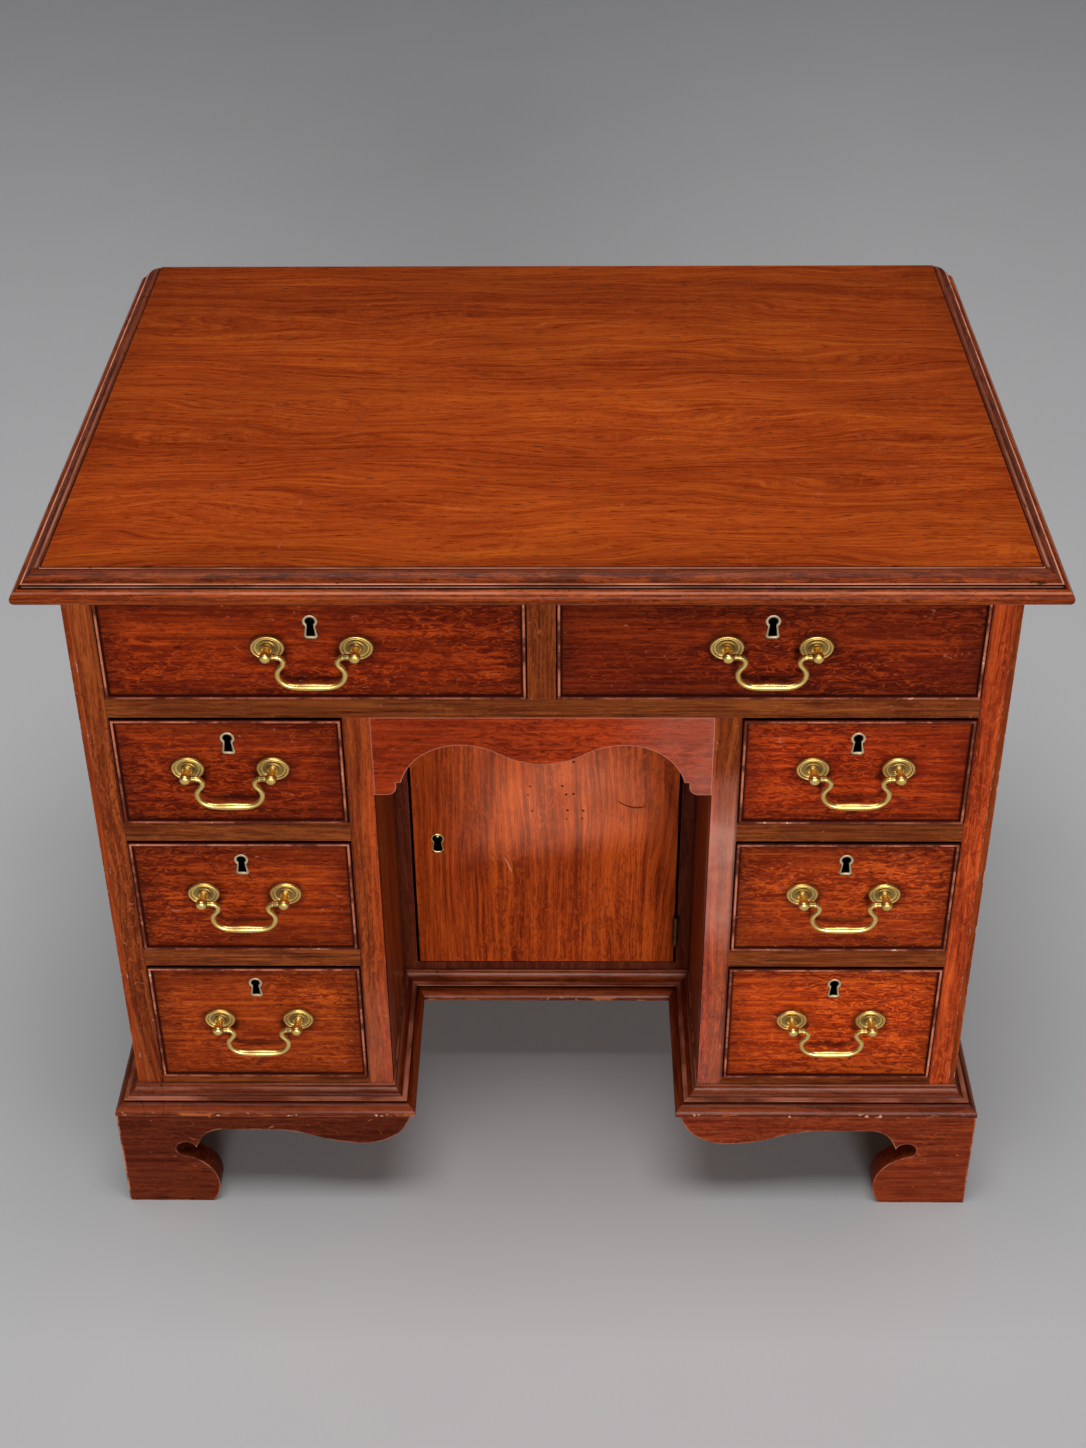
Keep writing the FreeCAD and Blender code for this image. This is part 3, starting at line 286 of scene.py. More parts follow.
def hinge_mesh(name, side, spans, node):
    """One half of the two butt hinges, with its screws. side is 1 on the frame and -1 on the door."""
    low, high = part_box(node)
    pin = PIVOTS["door_hinge"]
    height = HINGE_HEIGHT * MM
    near = pin.x + side * 0.05 * MM
    far = pin.x + side * LEAF_THICKNESS * MM
    x0, x1 = min(near, far), max(near, far)
    plate_front = pin.y + 2.9 * MM
    bm = bmesh.new()
    for foot in (low.z, high.z - height):
        rounded_block(bm, (x0, plate_front, foot), (x1, high.y, foot + height), 0.2 * MM)
        for start, end in spans:
            z0, z1 = foot + start * height, foot + end * height
            rim, flat, full = 0.35 * MM, 2.3 * MM, 2.7 * MM
            profile = [(0, z0), (flat, z0), (full, z0 + rim), (full, z1 - rim), (flat, z1), (0, z1)]
            lathe(bm, profile, 24, lambda u, v, w: Vector((pin.x + u, pin.y + v, w)))
            rounded_block(bm, (x0, pin.y, z0), (x1, plate_front + 0.3 * MM, z1), 0.2 * MM)
        for share in (0.2, 0.5, 0.8):
            screw = (near + side * 0.05 * MM, plate_front + 7 * MM, foot + share * height)
            dome(bm, screw, (-side, 0, 0), 2.2 * MM, 0.1 * MM)
    return finished_mesh(name, bm)


def nail_mesh():
    """Nail heads along the edges of the back boards."""
    low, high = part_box("back_boards")
    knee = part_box("cupboard_frame")[1].x
    bm = bmesh.new()
    end, margin, gaps = 14 * MM, 9 * MM, 5
    rows = [low.z + end + k * (high.z - low.z - 2 * end) / gaps for k in range(gaps + 1)]
    joints = [x + side * margin for x in (-knee, knee) for side in (-1, 1)]
    for x in (low.x + margin, *joints, high.x - margin):
        for z in rows:
            dome(bm, (x, high.y, z), (0, 1, 0), 2.4 * MM, 0.5 * MM)
    return finished_mesh("nail_heads", bm)


# Materials

class Shade:
    """Builds the nodes of one material."""

    def __init__(self, name):
        self.made = bpy.data.materials.new(name)
        self.made.use_nodes = True
        self.nodes = self.made.node_tree.nodes
        self.links = self.made.node_tree.links
        self.bsdf = self.nodes["Principled BSDF"]
        coords = self.node("TexCoord")
        self.object = coords.outputs["Object"]
        self.facing = coords.outputs["Normal"]
        self.x, self.y, self.z = self.parts(self.object)

    def node(self, kind, settings=None, sockets=None):
        made = self.nodes.new("ShaderNode" + kind)
        for key, value in (settings or {}).items():
            setattr(made, key, value)
        for key, value in (sockets or {}).items():
            self.feed(made.inputs[key], value)
        return made

    def feed(self, socket, value):
        if isinstance(value, bpy.types.NodeSocket):
            self.links.new(value, socket)
        else:
            socket.default_value = value

    def shader(self, **values):
        for key, value in values.items():
            self.feed(self.bsdf.inputs[key.replace("_", " ")], value)

    def calc(self, operation, a, b=0.0, c=0.0):
        return self.node("Math", {"operation": operation}, {0: a, 1: b, 2: c}).outputs[0]

    def times(self, *values):
        made = values[0]
        for value in values[1:]:
            made = self.calc("MULTIPLY", made, value)
        return made

    def minus(self, a, b):
        return self.calc("SUBTRACT", a, b)

    def size(self, value):
        return self.calc("ABSOLUTE", value)

    def apart(self, a, b):
        """How far two values are apart."""
        return self.size(self.minus(a, b))

    def vector(self, operation, a, b=(0, 0, 0)):
        made = self.node("VectorMath", {"operation": operation}, {0: a, 1: b})
        return made.outputs["Value" if operation == "DOT_PRODUCT" else "Vector"]

    def parts(self, vector):
        return self.node("SeparateXYZ", None, {0: vector}).outputs

    def join(self, x, y, z):
        return self.node("CombineXYZ", None, {0: x, 1: y, 2: z}).outputs[0]

    def noise(self, vector, stretch, detail=3.0, roughness=0.55, distortion=0.0):
        spot = self.vector("MULTIPLY", vector, stretch)
        made = self.node("TexNoise", None, {"Vector": spot, "Scale": 1.0, "Detail": detail})
        made.inputs["Roughness"].default_value = roughness
        made.inputs["Distortion"].default_value = distortion
        return made.outputs[0]

    def span(self, value, low, high, start=0.0, end=1.0):
        """Takes a value from one range to another, smoothly and held at the ends."""
        sockets = {"Value": value, "From Min": low, "From Max": high, "To Min": start, "To Max": end}
        return self.node("MapRange", {"interpolation_type": "SMOOTHSTEP"}, sockets).outputs[0]

    def between(self, value, low, inner_low, inner_high, high):
        """1 inside a band of values, fading to 0 at its two ends."""
        return self.times(self.span(value, low, inner_low), self.span(value, high, inner_high))

    def mix(self, share, a, b):
        made = self.node("Mix", {"data_type": "RGBA"}, {0: share})
        self.feed(made.inputs[6], a)
        self.feed(made.inputs[7], b)
        return made.outputs[2]

    def scaled(self, colour, share):
        """A colour made lighter or darker."""
        made = self.vector("SCALE", colour)
        self.feed(made.node.inputs["Scale"], share)
        return made

    def ramp(self, value, stops):
        made = self.node("ValToRGB", None, {0: value})
        elements = made.color_ramp.elements
        while len(elements) < len(stops):
            elements.new(0.5)
        for element, (place, colour) in zip(elements, stops):
            element.position = place
            element.color = colour
        return made.outputs[0]

    def contour(self, value, rings, low, high):
        """Lines of equal height through a noise, like the lines of a map."""
        wave = self.calc("PINGPONG", self.calc("MULTIPLY", value, rings), 1.0)
        return self.span(wave, low, high)

    def eased(self, radius):
        """The surface's direction with its edges eased."""
        return self.node("Bevel", {"samples": 4}, {"Radius": radius}).outputs[0]

    def edges(self, eased):
        """1 on edges, 0 away from them."""
        true = self.node("NewGeometry").outputs["Normal"]
        return self.span(self.vector("DOT_PRODUCT", eased, true), 0.995, 0.86)

    def hollows(self, distance):
        """1 in corners, where it gets dirty and where shade falls; 0 in the open."""
        ao = self.node("AmbientOcclusion", {"samples": 4}, {"Distance": distance}).outputs["AO"]
        return self.span(ao, 0.92, 0.35)

    def bump(self, height, strength, distance, normal):
        sockets = {"Strength": strength, "Distance": distance, "Height": height, "Normal": normal}
        return self.node("Bump", None, sockets).outputs[0]


def srgb(red, green, blue):
    """A colour given as it looks on a screen, 0 to 255."""
    out = []
    for value in (red, green, blue):
        share = value / 255
        out.append(share / 12.92 if share <= 0.04045 else ((share + 0.055) / 1.055) ** 2.4)
    return (*out, 1.0)


def along_grain(s, along):
    """Object coordinates turned so that the first runs along the grain, and shifted for each board."""
    luck = s.node("ObjectInfo").outputs["Random"]
    if along == "Z":
        spot = s.join(s.z, s.x, s.y)
    elif along == "Y":
        spot = s.join(s.y, s.x, s.z)
    elif along == "X":
        spot = s.object
    else:
        nx, ny, _ = s.parts(s.vector("ABSOLUTE", s.facing))
        over = s.node("Mix", {"data_type": "VECTOR"}, {0: s.calc("GREATER_THAN", nx, ny)})
        s.feed(over.inputs[4], s.object)
        s.feed(over.inputs[5], s.join(s.y, s.x, s.z))
        spot = over.outputs[1]
    return s.vector("ADD", spot, s.scaled((3.7, 1.9, 2.3), luck))


def wood(name, tones, along="X", contrast=1.0, arches=0.3, flecks=0.5, wear=0.5, dirt_and_shade=0.8, worms=0.4,
         uneven=1.0, wander=0.04, gloss=0.36, shine=0.05, coat=0.0, worn=None, extra=None):
    """Old polished wood. tones are its dark, middle and light colours; the rest are shares of its marks."""
    s = Shade(name)
    dark, middle, light = tones
    black = tuple(c * 0.15 for c in dark[:3]) + (1.0,)
    g = along_grain(s, along)
    sway = s.noise(g, (3.0, 11.0, 11.0), 2.0)
    w = s.vector("ADD", g, s.join(0.0, s.calc("MULTIPLY_ADD", sway, wander, -wander / 2), 0.0))
    broad = s.noise(w, (1.1, 14.0, 14.0), 2.0)
    fine = s.noise(w, (6.0, 210.0, 210.0), 5.0, 0.7)
    hair = s.noise(w, (26.0, 800.0, 800.0), 2.0, 0.6)
    rings = s.calc("SINE", s.times(s.noise(w, (1.0, 7.0, 7.0), 1.0), 60.0))
    tone = s.calc("MULTIPLY_ADD", fine, 0.55, s.calc("MULTIPLY_ADD", hair, 0.25, s.times(broad, 0.2)))
    tone = s.calc("MULTIPLY_ADD", rings, 0.03 * arches, tone)
    half = 0.14 / contrast
    colour = s.ramp(tone, [(0.5 - half, dark), (0.5, middle), (0.5 + half, light)])
    field = s.span(s.noise(g, (5.0, 12.0, 12.0), 2.0), 0.36, 0.60, 0.35, 1.0)
    swirl = s.noise(w, (60.0, 175.0, 175.0), 2.0, 0.5, 0.8)
    wave = s.calc("PINGPONG", s.times(swirl, 7.0), 1.0)
    colour = s.mix(s.times(s.span(wave, 0.36, 0.04), field, flecks), colour, dark)
    colour = s.mix(s.times(s.span(wave, 0.76, 0.97), field, flecks), colour, light)
    dash = s.noise(w, (70.0, 420.0, 420.0), 2.0, 0.55)
    colour = s.mix(s.times(s.span(dash, 0.64, 0.74), flecks * 0.8), colour, black)
    patch = s.noise(g, (3.0, 7.0, 7.0), 3.0, 0.6)
    colour = s.scaled(colour, s.span(patch, 0.32, 0.68, 1.0 - 0.16 * uneven, 1.0 + 0.14 * uneven))
    cells = s.node("TexVoronoi", None, {"Vector": s.object, "Scale": 38.0})
    rare = s.calc("GREATER_THAN", s.parts(cells.outputs["Color"])[0], 1.0 - 0.09 * worms)
    hole = s.times(s.span(cells.outputs["Distance"], 0.045, 0.03), rare)
    colour = s.mix(s.times(hole, 0.85), colour, black)
    eased = s.eased(0.8 * MM)
    edge = s.edges(eased)
    rubbed = s.noise(g, (30.0, 50.0, 50.0), 4.0, 0.7)
    colour = s.mix(s.times(edge, s.span(rubbed, 0.42, 0.62, 0.1 * wear, 0.9 * wear)), colour, worn or light)
    chip = s.times(edge, s.span(s.noise(s.object, (120.0, 120.0, 120.0), 3.0), 0.62, 0.68, 0.0, wear))
    colour = s.mix(chip, colour, srgb(214, 182, 160))
    # Painted shade, and dirty darkening, in corners and hollows
    hollow_dirt_and_shade = s.times(s.hollows(6 * MM), dirt_and_shade)
    colour = s.mix(hollow_dirt_and_shade, colour, black)
    rough = s.calc("MULTIPLY_ADD", hollow_dirt_and_shade, 0.3, s.span(patch, 0.3, 0.7, gloss - 0.06, gloss + 0.1))
    ripple = s.noise(g, (12.0, 20.0, 20.0), 2.0)
    height = s.calc("MULTIPLY_ADD", ripple, 6.0, s.calc("MULTIPLY_ADD", fine, 0.5, dash))
    height = s.calc("MULTIPLY_ADD", s.calc("ADD", hole, chip), -3.0, height)
    normal = s.bump(height, 0.4, 0.12 * MM, eased)
    if extra:
        colour, rough = extra(s, g, colour, rough)
    s.shader(Base_Color=colour, Roughness=rough, Normal=normal)
    s.shader(Specular_IOR_Level=shine, Coat_Weight=coat, Coat_Roughness=0.15)
    return s.made


def knocks(s, colour, share, tone):
    """Small pale nicks and short scores."""
    marks = s.noise(s.object, (90.0, 90.0, 150.0), 3.0, 0.5, 1.2)
    return s.mix(s.span(marks, 0.70, 0.74, 0.0, share), colour, tone)


def brass_material(name, bright, dull, recess, rough, shaded_inside=False, dished=False):
    """Old cast brass: bright where hands rub it, dark in its hollows."""
    s = Shade(name)
    cloud = s.noise(s.object, (70.0, 70.0, 70.0), 3.0, 0.5)
    pits = s.noise(s.object, (600.0, 600.0, 600.0), 2.0, 0.5)
    colour = s.mix(s.span(cloud, 0.40, 0.75), bright, dull)
    hollow_dirt_and_shade = s.hollows(2.2 * MM)
    colour = s.mix(s.times(hollow_dirt_and_shade, 0.85), colour, recess)
    colour = s.mix(s.span(pits, 0.68, 0.78, 0.0, 0.12), colour, recess)
    if dished:
        across = s.minus(s.size(s.x), HANDLE_HALF * MM)
        tall = s.times(s.z, 1 / ROSE_TALL_SHARE)
        ring = s.calc("SQRT", s.calc("ADD", s.times(across, across), s.times(tall, tall)))
        plate = s.span(s.y, -3.3 * MM, -3.0 * MM)
        groove = s.between(ring, 11.2 * MM, 11.5 * MM, 11.8 * MM, 12.2 * MM)
        dish = s.calc("MAXIMUM", s.span(ring, 9.9 * MM, 9.2 * MM), groove)
        colour = s.mix(s.times(dish, plate, 0.62), colour, recess)
    # Painted shade, near black, inside the keyhole lining
    if shaded_inside:
        colour = s.mix(s.span(s.y, 0.4 * MM, 1.2 * MM), colour, srgb(10, 7, 4))
    gloss = s.calc("MULTIPLY_ADD", hollow_dirt_and_shade, 0.2, s.span(cloud, 0.3, 0.7, rough, rough + 0.1))
    normal = s.bump(pits, 0.03, 0.03 * MM, s.node("NewGeometry").outputs["Normal"])
    s.shader(Base_Color=colour, Metallic=1.0, Roughness=gloss, Normal=normal)
    return s.made


def iron_material():
    """Dull iron with brown rust, painted shade, near black, where it faces a keyhole, and the door's bright
    key pin.
    """
    s = Shade("old_iron")
    cloud = s.noise(s.object, (140.0, 140.0, 140.0), 5.0, 0.65)
    colour = s.mix(s.span(cloud, 0.45, 0.65), srgb(92, 86, 78), srgb(74, 46, 30))
    # Painted shade, near black, on the faces turned towards a keyhole
    colour = s.mix(s.span(s.parts(s.facing)[1], -0.5, -0.9), colour, srgb(8, 6, 5))
    across, up = s.minus(s.x, DOOR_PIN_X), s.minus(s.z, DOOR_PIN_Z)
    near = s.calc("ADD", s.times(across, across), s.times(up, up))
    colour = s.mix(s.calc("LESS_THAN", near, (2 * MM) ** 2), colour, srgb(240, 222, 160))
    normal = s.bump(cloud, 0.3, 0.15 * MM, s.eased(0.4 * MM))
    s.shader(Base_Color=colour, Metallic=0.8, Roughness=s.span(cloud, 0.3, 0.7, 0.42, 0.7), Normal=normal)
    return s.made


PINK = srgb(190, 112, 84)
NICK = srgb(214, 184, 164)
ARRIS_WEAR_AND_HIGHLIGHT = srgb(206, 128, 98)
GROOVE_SHADOW = srgb(16, 5, 3)
GRIME_AND_SHADE = srgb(30, 10, 6)
KEYHOLE_SHADE = srgb(8, 3, 2)
# How far the stile beside the kneehole lies from the middle, with its edges faded, in metres
INNER_STILE = (0.145, 0.150, 0.177, 0.182)


def drawer_front_finish(name):
    """Marks of one drawer front: darker towards its edges, cock-beads with painted highlights on their
    noses, a grimy line with painted shade beside them, painted shadow with grimy darkening round the roses,
    painted shade in its gaps and keyhole, an unpolished back.
    """
    low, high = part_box(name + "_drawer_front")
    pivot = PIVOTS[name + "_bail_hinge"]
    keyhole = high.z - KEYHOLE_BELOW_EDGE

    def finish(s, g, colour, rough):
        across = s.calc("MINIMUM", s.minus(s.x, low.x), s.minus(high.x, s.x))
        upright = s.calc("MINIMUM", s.minus(s.z, low.z), s.minus(high.z, s.z))
        inset = s.calc("MINIMUM", across, upright)
        colour = s.scaled(colour, s.span(inset, 3 * MM, 32 * MM, 0.62, 1.0))
        # Painted shadow of the handle, with grimy darkening, round each rose
        from_post = s.minus(s.apart(s.x, pivot.x), HANDLE_HALF * MM)
        drop = s.minus(s.z, pivot.z - 2 * MM)
        ring = s.calc("SQRT", s.calc("ADD", s.times(from_post, from_post), s.times(drop, drop)))
        colour = s.scaled(colour, s.span(ring, 13 * MM, 24 * MM, 0.5, 1.0))
        # Painted shade, with grimy darkening, in the line beside the cock-bead
        bead_grime_and_shade = s.between(inset, 3.0 * MM, 3.6 * MM, 3.6 * MM, 6.2 * MM)
        colour = s.mix(s.times(bead_grime_and_shade, 0.85), colour, srgb(30, 8, 4))
        colour = knocks(s, colour, 0.5, PINK)
        bead = s.span(inset, 3.7 * MM, 3.4 * MM)
        rubbed = s.noise(s.object, (34.0, 34.0, 34.0), 5.0, 0.7)
        colour = s.mix(bead, colour, srgb(72, 20, 9))
        # Painted highlight, with wear, along the noses of the cock-beads; weaker on the bottom bead
        tip = s.times(bead, s.span(s.y, FRONT_Y - 1.9 * MM, FRONT_Y - 2.45 * MM))
        lit = s.span(s.z, low.z + 5 * MM, low.z + 3 * MM, 1.0, 0.6)
        polished = s.times(tip, lit, s.span(rubbed, 0.42, 0.60, 0.12, 0.95))
        colour = s.mix(polished, colour, srgb(206, 120, 90))
        colour = s.mix(s.times(tip, s.span(rubbed, 0.64, 0.68)), colour, NICK)
        deep = s.minus(s.y, FRONT_Y)
        side = s.times(s.span(inset, 1.2 * MM, 0.6 * MM), s.span(deep, -1.4 * MM, -0.4 * MM))
        shadow = s.mix(s.span(deep, 7 * MM, 4 * MM), srgb(92, 44, 24), srgb(10, 3, 2))
        colour = s.mix(side, colour, shadow)
        inside = s.span(deep, 20 * MM, 21.5 * MM)
        colour = s.mix(inside, colour, srgb(128, 84, 54))
        # Painted shade, near black, on the walls of the keyhole
        near_x = s.calc("LESS_THAN", s.apart(s.x, pivot.x), 8 * MM)
        near_z = s.calc("LESS_THAN", s.apart(s.z, keyhole), 13.5 * MM)
        within = s.calc("GREATER_THAN", s.y, FRONT_Y + 0.3 * MM)
        colour = s.mix(s.times(near_x, near_z, within), colour, KEYHOLE_SHADE)
        return colour, s.calc("MULTIPLY_ADD", inside, 0.3, rough)

    return finish


def painted_sheen(s, colour, share, tone):
    """Painted sheen: a pale, cloudy patch of reflected light."""
    cloud = s.noise(s.object, (24.0, 24.0, 24.0), 4.0, 0.65)
    return s.mix(s.times(share, s.span(cloud, 0.3, 0.7, 0.5, 1.0)), colour, tone)


def top_finish(s, g, colour, rough):
    """The field of the top: painted shade towards the back, and darker near its front edge and ends."""
    low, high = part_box("top_board")
    # Painted shade, darker towards the back
    colour = s.scaled(colour, s.span(s.y, -0.1, high.y, 1.0, 0.74))
    pores = s.noise(g, (60.0, 700.0, 700.0), 2.0, 0.5)
    colour = s.mix(s.span(pores, 0.61, 0.69, 0.0, 0.75), colour, srgb(48, 16, 8))
    rim = s.calc("MINIMUM", s.minus(s.y, low.y), s.minus(high.x, s.size(s.x)))
    colour = s.scaled(colour, s.span(rim, 0.0, 40 * MM, 0.86, 1.0))
    return knocks(s, colour, 0.25, PINK), rough


def edge_finish(s, g, colour, rough):
    """The top's moulding: arrises with wear and painted highlights, painted shade along its inner edge,
    painted sheen on its ovolo, blotches, a painted shadow in its groove and a redder bead with a painted
    highlight.
    """
    low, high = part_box("top_board")
    out = s.calc("MAXIMUM", s.minus(s.size(s.x), high.x), s.minus(low.y, s.y))
    broken = s.span(s.noise(g, (14.0, 40.0, 40.0), 4.0, 0.6), 0.34, 0.6, 0.35, 1.0)

    def strip(start, end):
        start, end, fade = start * MM, end * MM, 0.2 * MM
        return s.between(out, start - fade, start + fade, end - fade, end + fade)

    front = s.span(s.y, low.y + 1 * MM, low.y)
    # Painted sheen, a brownish purple, on the upper ovolo
    colour = s.mix(s.times(strip(2.0, 7.5), 0.4), colour, srgb(104, 54, 38))
    blotch = s.span(s.noise(g, (22.0, 90.0, 90.0), 4.0, 0.65), 0.50, 0.60, 0.0, 0.6)
    colour = s.mix(s.times(strip(6.5, 14.0), blotch), colour, srgb(46, 17, 8))
    ends = s.minus(1.0, front)
    sheen = s.times(strip(4.0, 6.5), ends, broken, s.span(s.y, 0.25, low.y, 0.1, 0.6))
    colour = s.mix(sheen, colour, srgb(196, 134, 110))
    colour = s.mix(strip(17.4, 40), colour, s.vector("MULTIPLY", colour, (1.3, 1.25, 0.9)))
    # Painted highlight along the crest of the bead
    colour = s.mix(s.times(strip(20.5, 22.0), broken, 0.4), colour, srgb(226, 150, 120))
    # Painted shade, with grimy dark, in the quirk at the field's edge
    colour = s.mix(s.times(strip(-1.0, 0.7), 0.8), colour, GRIME_AND_SHADE)
    # Painted highlight, with wear, on the arris at the field's edge, on the front only
    colour = s.mix(s.times(strip(0.9, 2.0), broken, front, 0.75), colour, srgb(226, 158, 134))
    # Painted shade, with grimy dark, along the field's edge at the ends
    colour = s.mix(s.times(strip(0.5, 1.8), ends, 0.85), colour, GRIME_AND_SHADE)
    # Painted shade in a band below the lit arris on the front
    colour = s.mix(s.times(strip(2.0, 3.4), front, 0.7), colour, srgb(44, 16, 10))
    # Painted highlight, with wear, on the top of the fillet
    colour = s.mix(s.times(strip(14.3, 15.7), broken, 0.85), colour, srgb(228, 154, 126))
    # Painted shadow in the groove under the fillet
    colour = s.mix(s.times(strip(15.9, 17.6), 0.92), colour, GROOVE_SHADOW)
    nicks = s.noise(g, (60.0, 160.0, 160.0), 3.0, 0.6)
    colour = s.mix(s.span(nicks, 0.66, 0.73, 0.0, 0.85), colour, srgb(34, 11, 6))
    return knocks(s, colour, 0.5, GRIME_AND_SHADE), rough


def shaded_openings(s, colour):
    """Painted shade on the faces that turn in from the front."""
    turned = s.between(s.y, FRONT_Y + 0.2 * MM, FRONT_Y + 0.6 * MM, FRONT_Y + 5 * MM, FRONT_Y + 12 * MM)
    return s.mix(s.times(turned, 0.9), colour, srgb(14, 5, 3))


def upright_finish(s, g, colour, rough):
    """The stiles: the right-hand ones redder, painted sheen beside the kneehole and dark seams by the
    drawers.
    """
    redder = s.vector("MULTIPLY", colour, (1.6, 1.1, 1.05))
    colour = s.mix(s.span(s.x, 0.30, 0.36), colour, redder)
    colour = s.scaled(colour, s.span(s.size(s.x), 0.30, 0.36, 1.0, 1.22))
    beside = s.between(s.x, *INNER_STILE)
    colour = s.mix(s.times(beside, s.span(s.z, 0.56, 0.48, 0.1, 0.8)), colour, redder)
    # Painted sheen on the right-hand stile beside the kneehole, strongest at mid height
    height = s.between(s.z, 0.30, 0.40, 0.47, 0.56)
    sheen_share = s.calc("MULTIPLY_ADD", height, 0.55, s.span(s.z, 0.36, 0.24, 0.0, 0.15))
    colour = painted_sheen(s, colour, s.times(beside, sheen_share), srgb(206, 156, 138))
    left = s.between(s.x, *(-edge for edge in INNER_STILE))
    colour = s.mix(s.times(left, 0.3), colour, redder)
    # Painted sheen low on the left-hand stile beside the kneehole
    colour = painted_sheen(s, colour, s.times(left, s.span(s.z, 0.34, 0.22, 0.0, 0.25)), srgb(186, 112, 88))
    off = s.size(s.x)
    lip = s.times(s.between(off, 0.140, 0.145, 0.156, 0.164), s.span(s.z, 0.60, 0.52, 0.35, 1.0))
    colour = s.mix(s.times(lip, 0.75), colour, s.vector("MULTIPLY", colour, (1.3, 1.05, 1.05)))
    seam = s.between(off, 0.1715, 0.1750, 0.18, 0.19)
    seam = s.calc("MAXIMUM", seam, s.between(off, 0.30, 0.31, 0.3795, 0.3825))
    colour = s.scaled(colour, s.span(seam, 0.0, 1.0, 1.0, 0.5))
    return shaded_openings(s, knocks(s, colour, 0.6, PINK)), rough


def rail_finish(s, g, colour, rough):
    """Rails, with a few nicks and scores."""
    scores = s.noise(g, (9.0, 240.0, 240.0), 3.0, 0.6)
    colour = s.mix(s.span(scores, 0.60, 0.68, 0.0, 0.6), colour, srgb(40, 17, 9))
    return shaded_openings(s, knocks(s, colour, 0.4, PINK)), rough


def side_finish(s, g, colour, rough):
    """The carcass sides show a paler edge at the front, and the walls of the kneehole carry painted light
    that makes them paler.
    """
    # Painted light on the walls of the kneehole
    colour = s.scaled(colour, s.span(s.size(s.x), 0.153, 0.152, 1.0, 1.7))
    strip = s.span(s.y, FRONT_Y + 0.4 * MM, FRONT_Y + 0.1 * MM)
    colour = s.mix(strip, colour, s.vector("MULTIPLY", colour, (1.5, 1.2, 0.9)))
    chipped = s.span(s.noise(s.object, (50.0, 50.0, 50.0), 4.0, 0.65), 0.56, 0.64, 0.0, 0.9)
    colour = s.mix(s.times(s.edges(s.eased(1.8 * MM)), chipped), colour, NICK)
    return knocks(s, colour, 0.3, PINK), rough


def apron_finish(s, g, colour, rough):
    """The apron carries a painted sheen towards its right-hand end."""
    colour = painted_sheen(s, colour, s.span(s.x, 0.05, 0.15, 0.0, 0.4), srgb(186, 122, 106))
    colour = s.mix(s.times(s.edges(s.eased(2.2 * MM)), 0.75), colour, srgb(222, 150, 128))
    return knocks(s, colour, 0.4, PINK), rough


def door_finish(s, g, colour, rough):
    """The door: a broad sheen across its upper middle, worm holes, a scar, a score and its keyhole."""
    slope = s.calc("MULTIPLY_ADD", s.x, -0.15, s.z)
    band = s.times(s.span(slope, 0.295, 0.345), s.span(s.z, 0.50, 0.40))
    side = s.span(s.apart(s.x, 0.015), 0.13, 0.03)
    cloud = s.span(s.noise(s.object, (16.0, 16.0, 16.0), 4.0, 0.6), 0.3, 0.7, 0.55, 1.0)
    sheen = s.vector("ADD", s.scaled(colour, 1.25), (0.24, 0.088, 0.05))
    colour = s.mix(s.times(band, side, cloud), colour, sheen)
    colour = s.scaled(colour, s.span(s.size(s.x), 0.09, 0.135, 1.0, 0.8))
    from_arc = s.minus(s.x, 0.092)
    arc = s.calc("MULTIPLY_ADD", s.times(from_arc, from_arc), 22.0, 0.372)
    scar = s.times(
        s.span(s.apart(s.z, arc), 1.6 * MM, 0.5 * MM),
        s.span(s.apart(s.x, 0.086), 16 * MM, 10 * MM),
    )
    colour = s.mix(s.times(scar, 0.8), colour, srgb(46, 16, 8))
    spot = s.join(s.x, s.z, 0.0)
    cells = s.node("TexVoronoi", {"voronoi_dimensions": "2D"}, {"Vector": spot, "Scale": 95.0})
    rare = s.calc("GREATER_THAN", s.parts(cells.outputs["Color"])[1], 0.86)
    near = s.times(s.span(s.apart(s.x, 0.015), 50 * MM, 20 * MM), s.span(s.z, 0.345, 0.365))
    holes = s.times(s.span(cells.outputs["Distance"], 0.16, 0.10), rare, near, 0.9)
    colour = s.mix(holes, colour, srgb(34, 10, 5))
    line = s.apart(s.calc("MULTIPLY_ADD", s.z, 0.35, s.x), 0.0655)
    length = s.span(s.apart(s.z, 0.296), 11 * MM, 7 * MM)
    score = s.times(s.span(line, 0.8 * MM, 0.3 * MM), length)
    colour = s.mix(s.times(score, 0.7), colour, srgb(216, 150, 120))
    # Painted shade, near black, on the walls of the keyhole
    near_x = s.calc("LESS_THAN", s.apart(s.x, DOOR_PIN_X), 9 * MM)
    near_z = s.calc("LESS_THAN", s.apart(s.z, DOOR_PIN_Z - 4 * MM), 14 * MM)
    within = s.calc("GREATER_THAN", s.y, DOOR_FACE_Y + 0.3 * MM)
    colour = s.mix(s.times(near_x, near_z, within), colour, KEYHOLE_SHADE)
    return knocks(s, colour, 0.3, PINK), rough


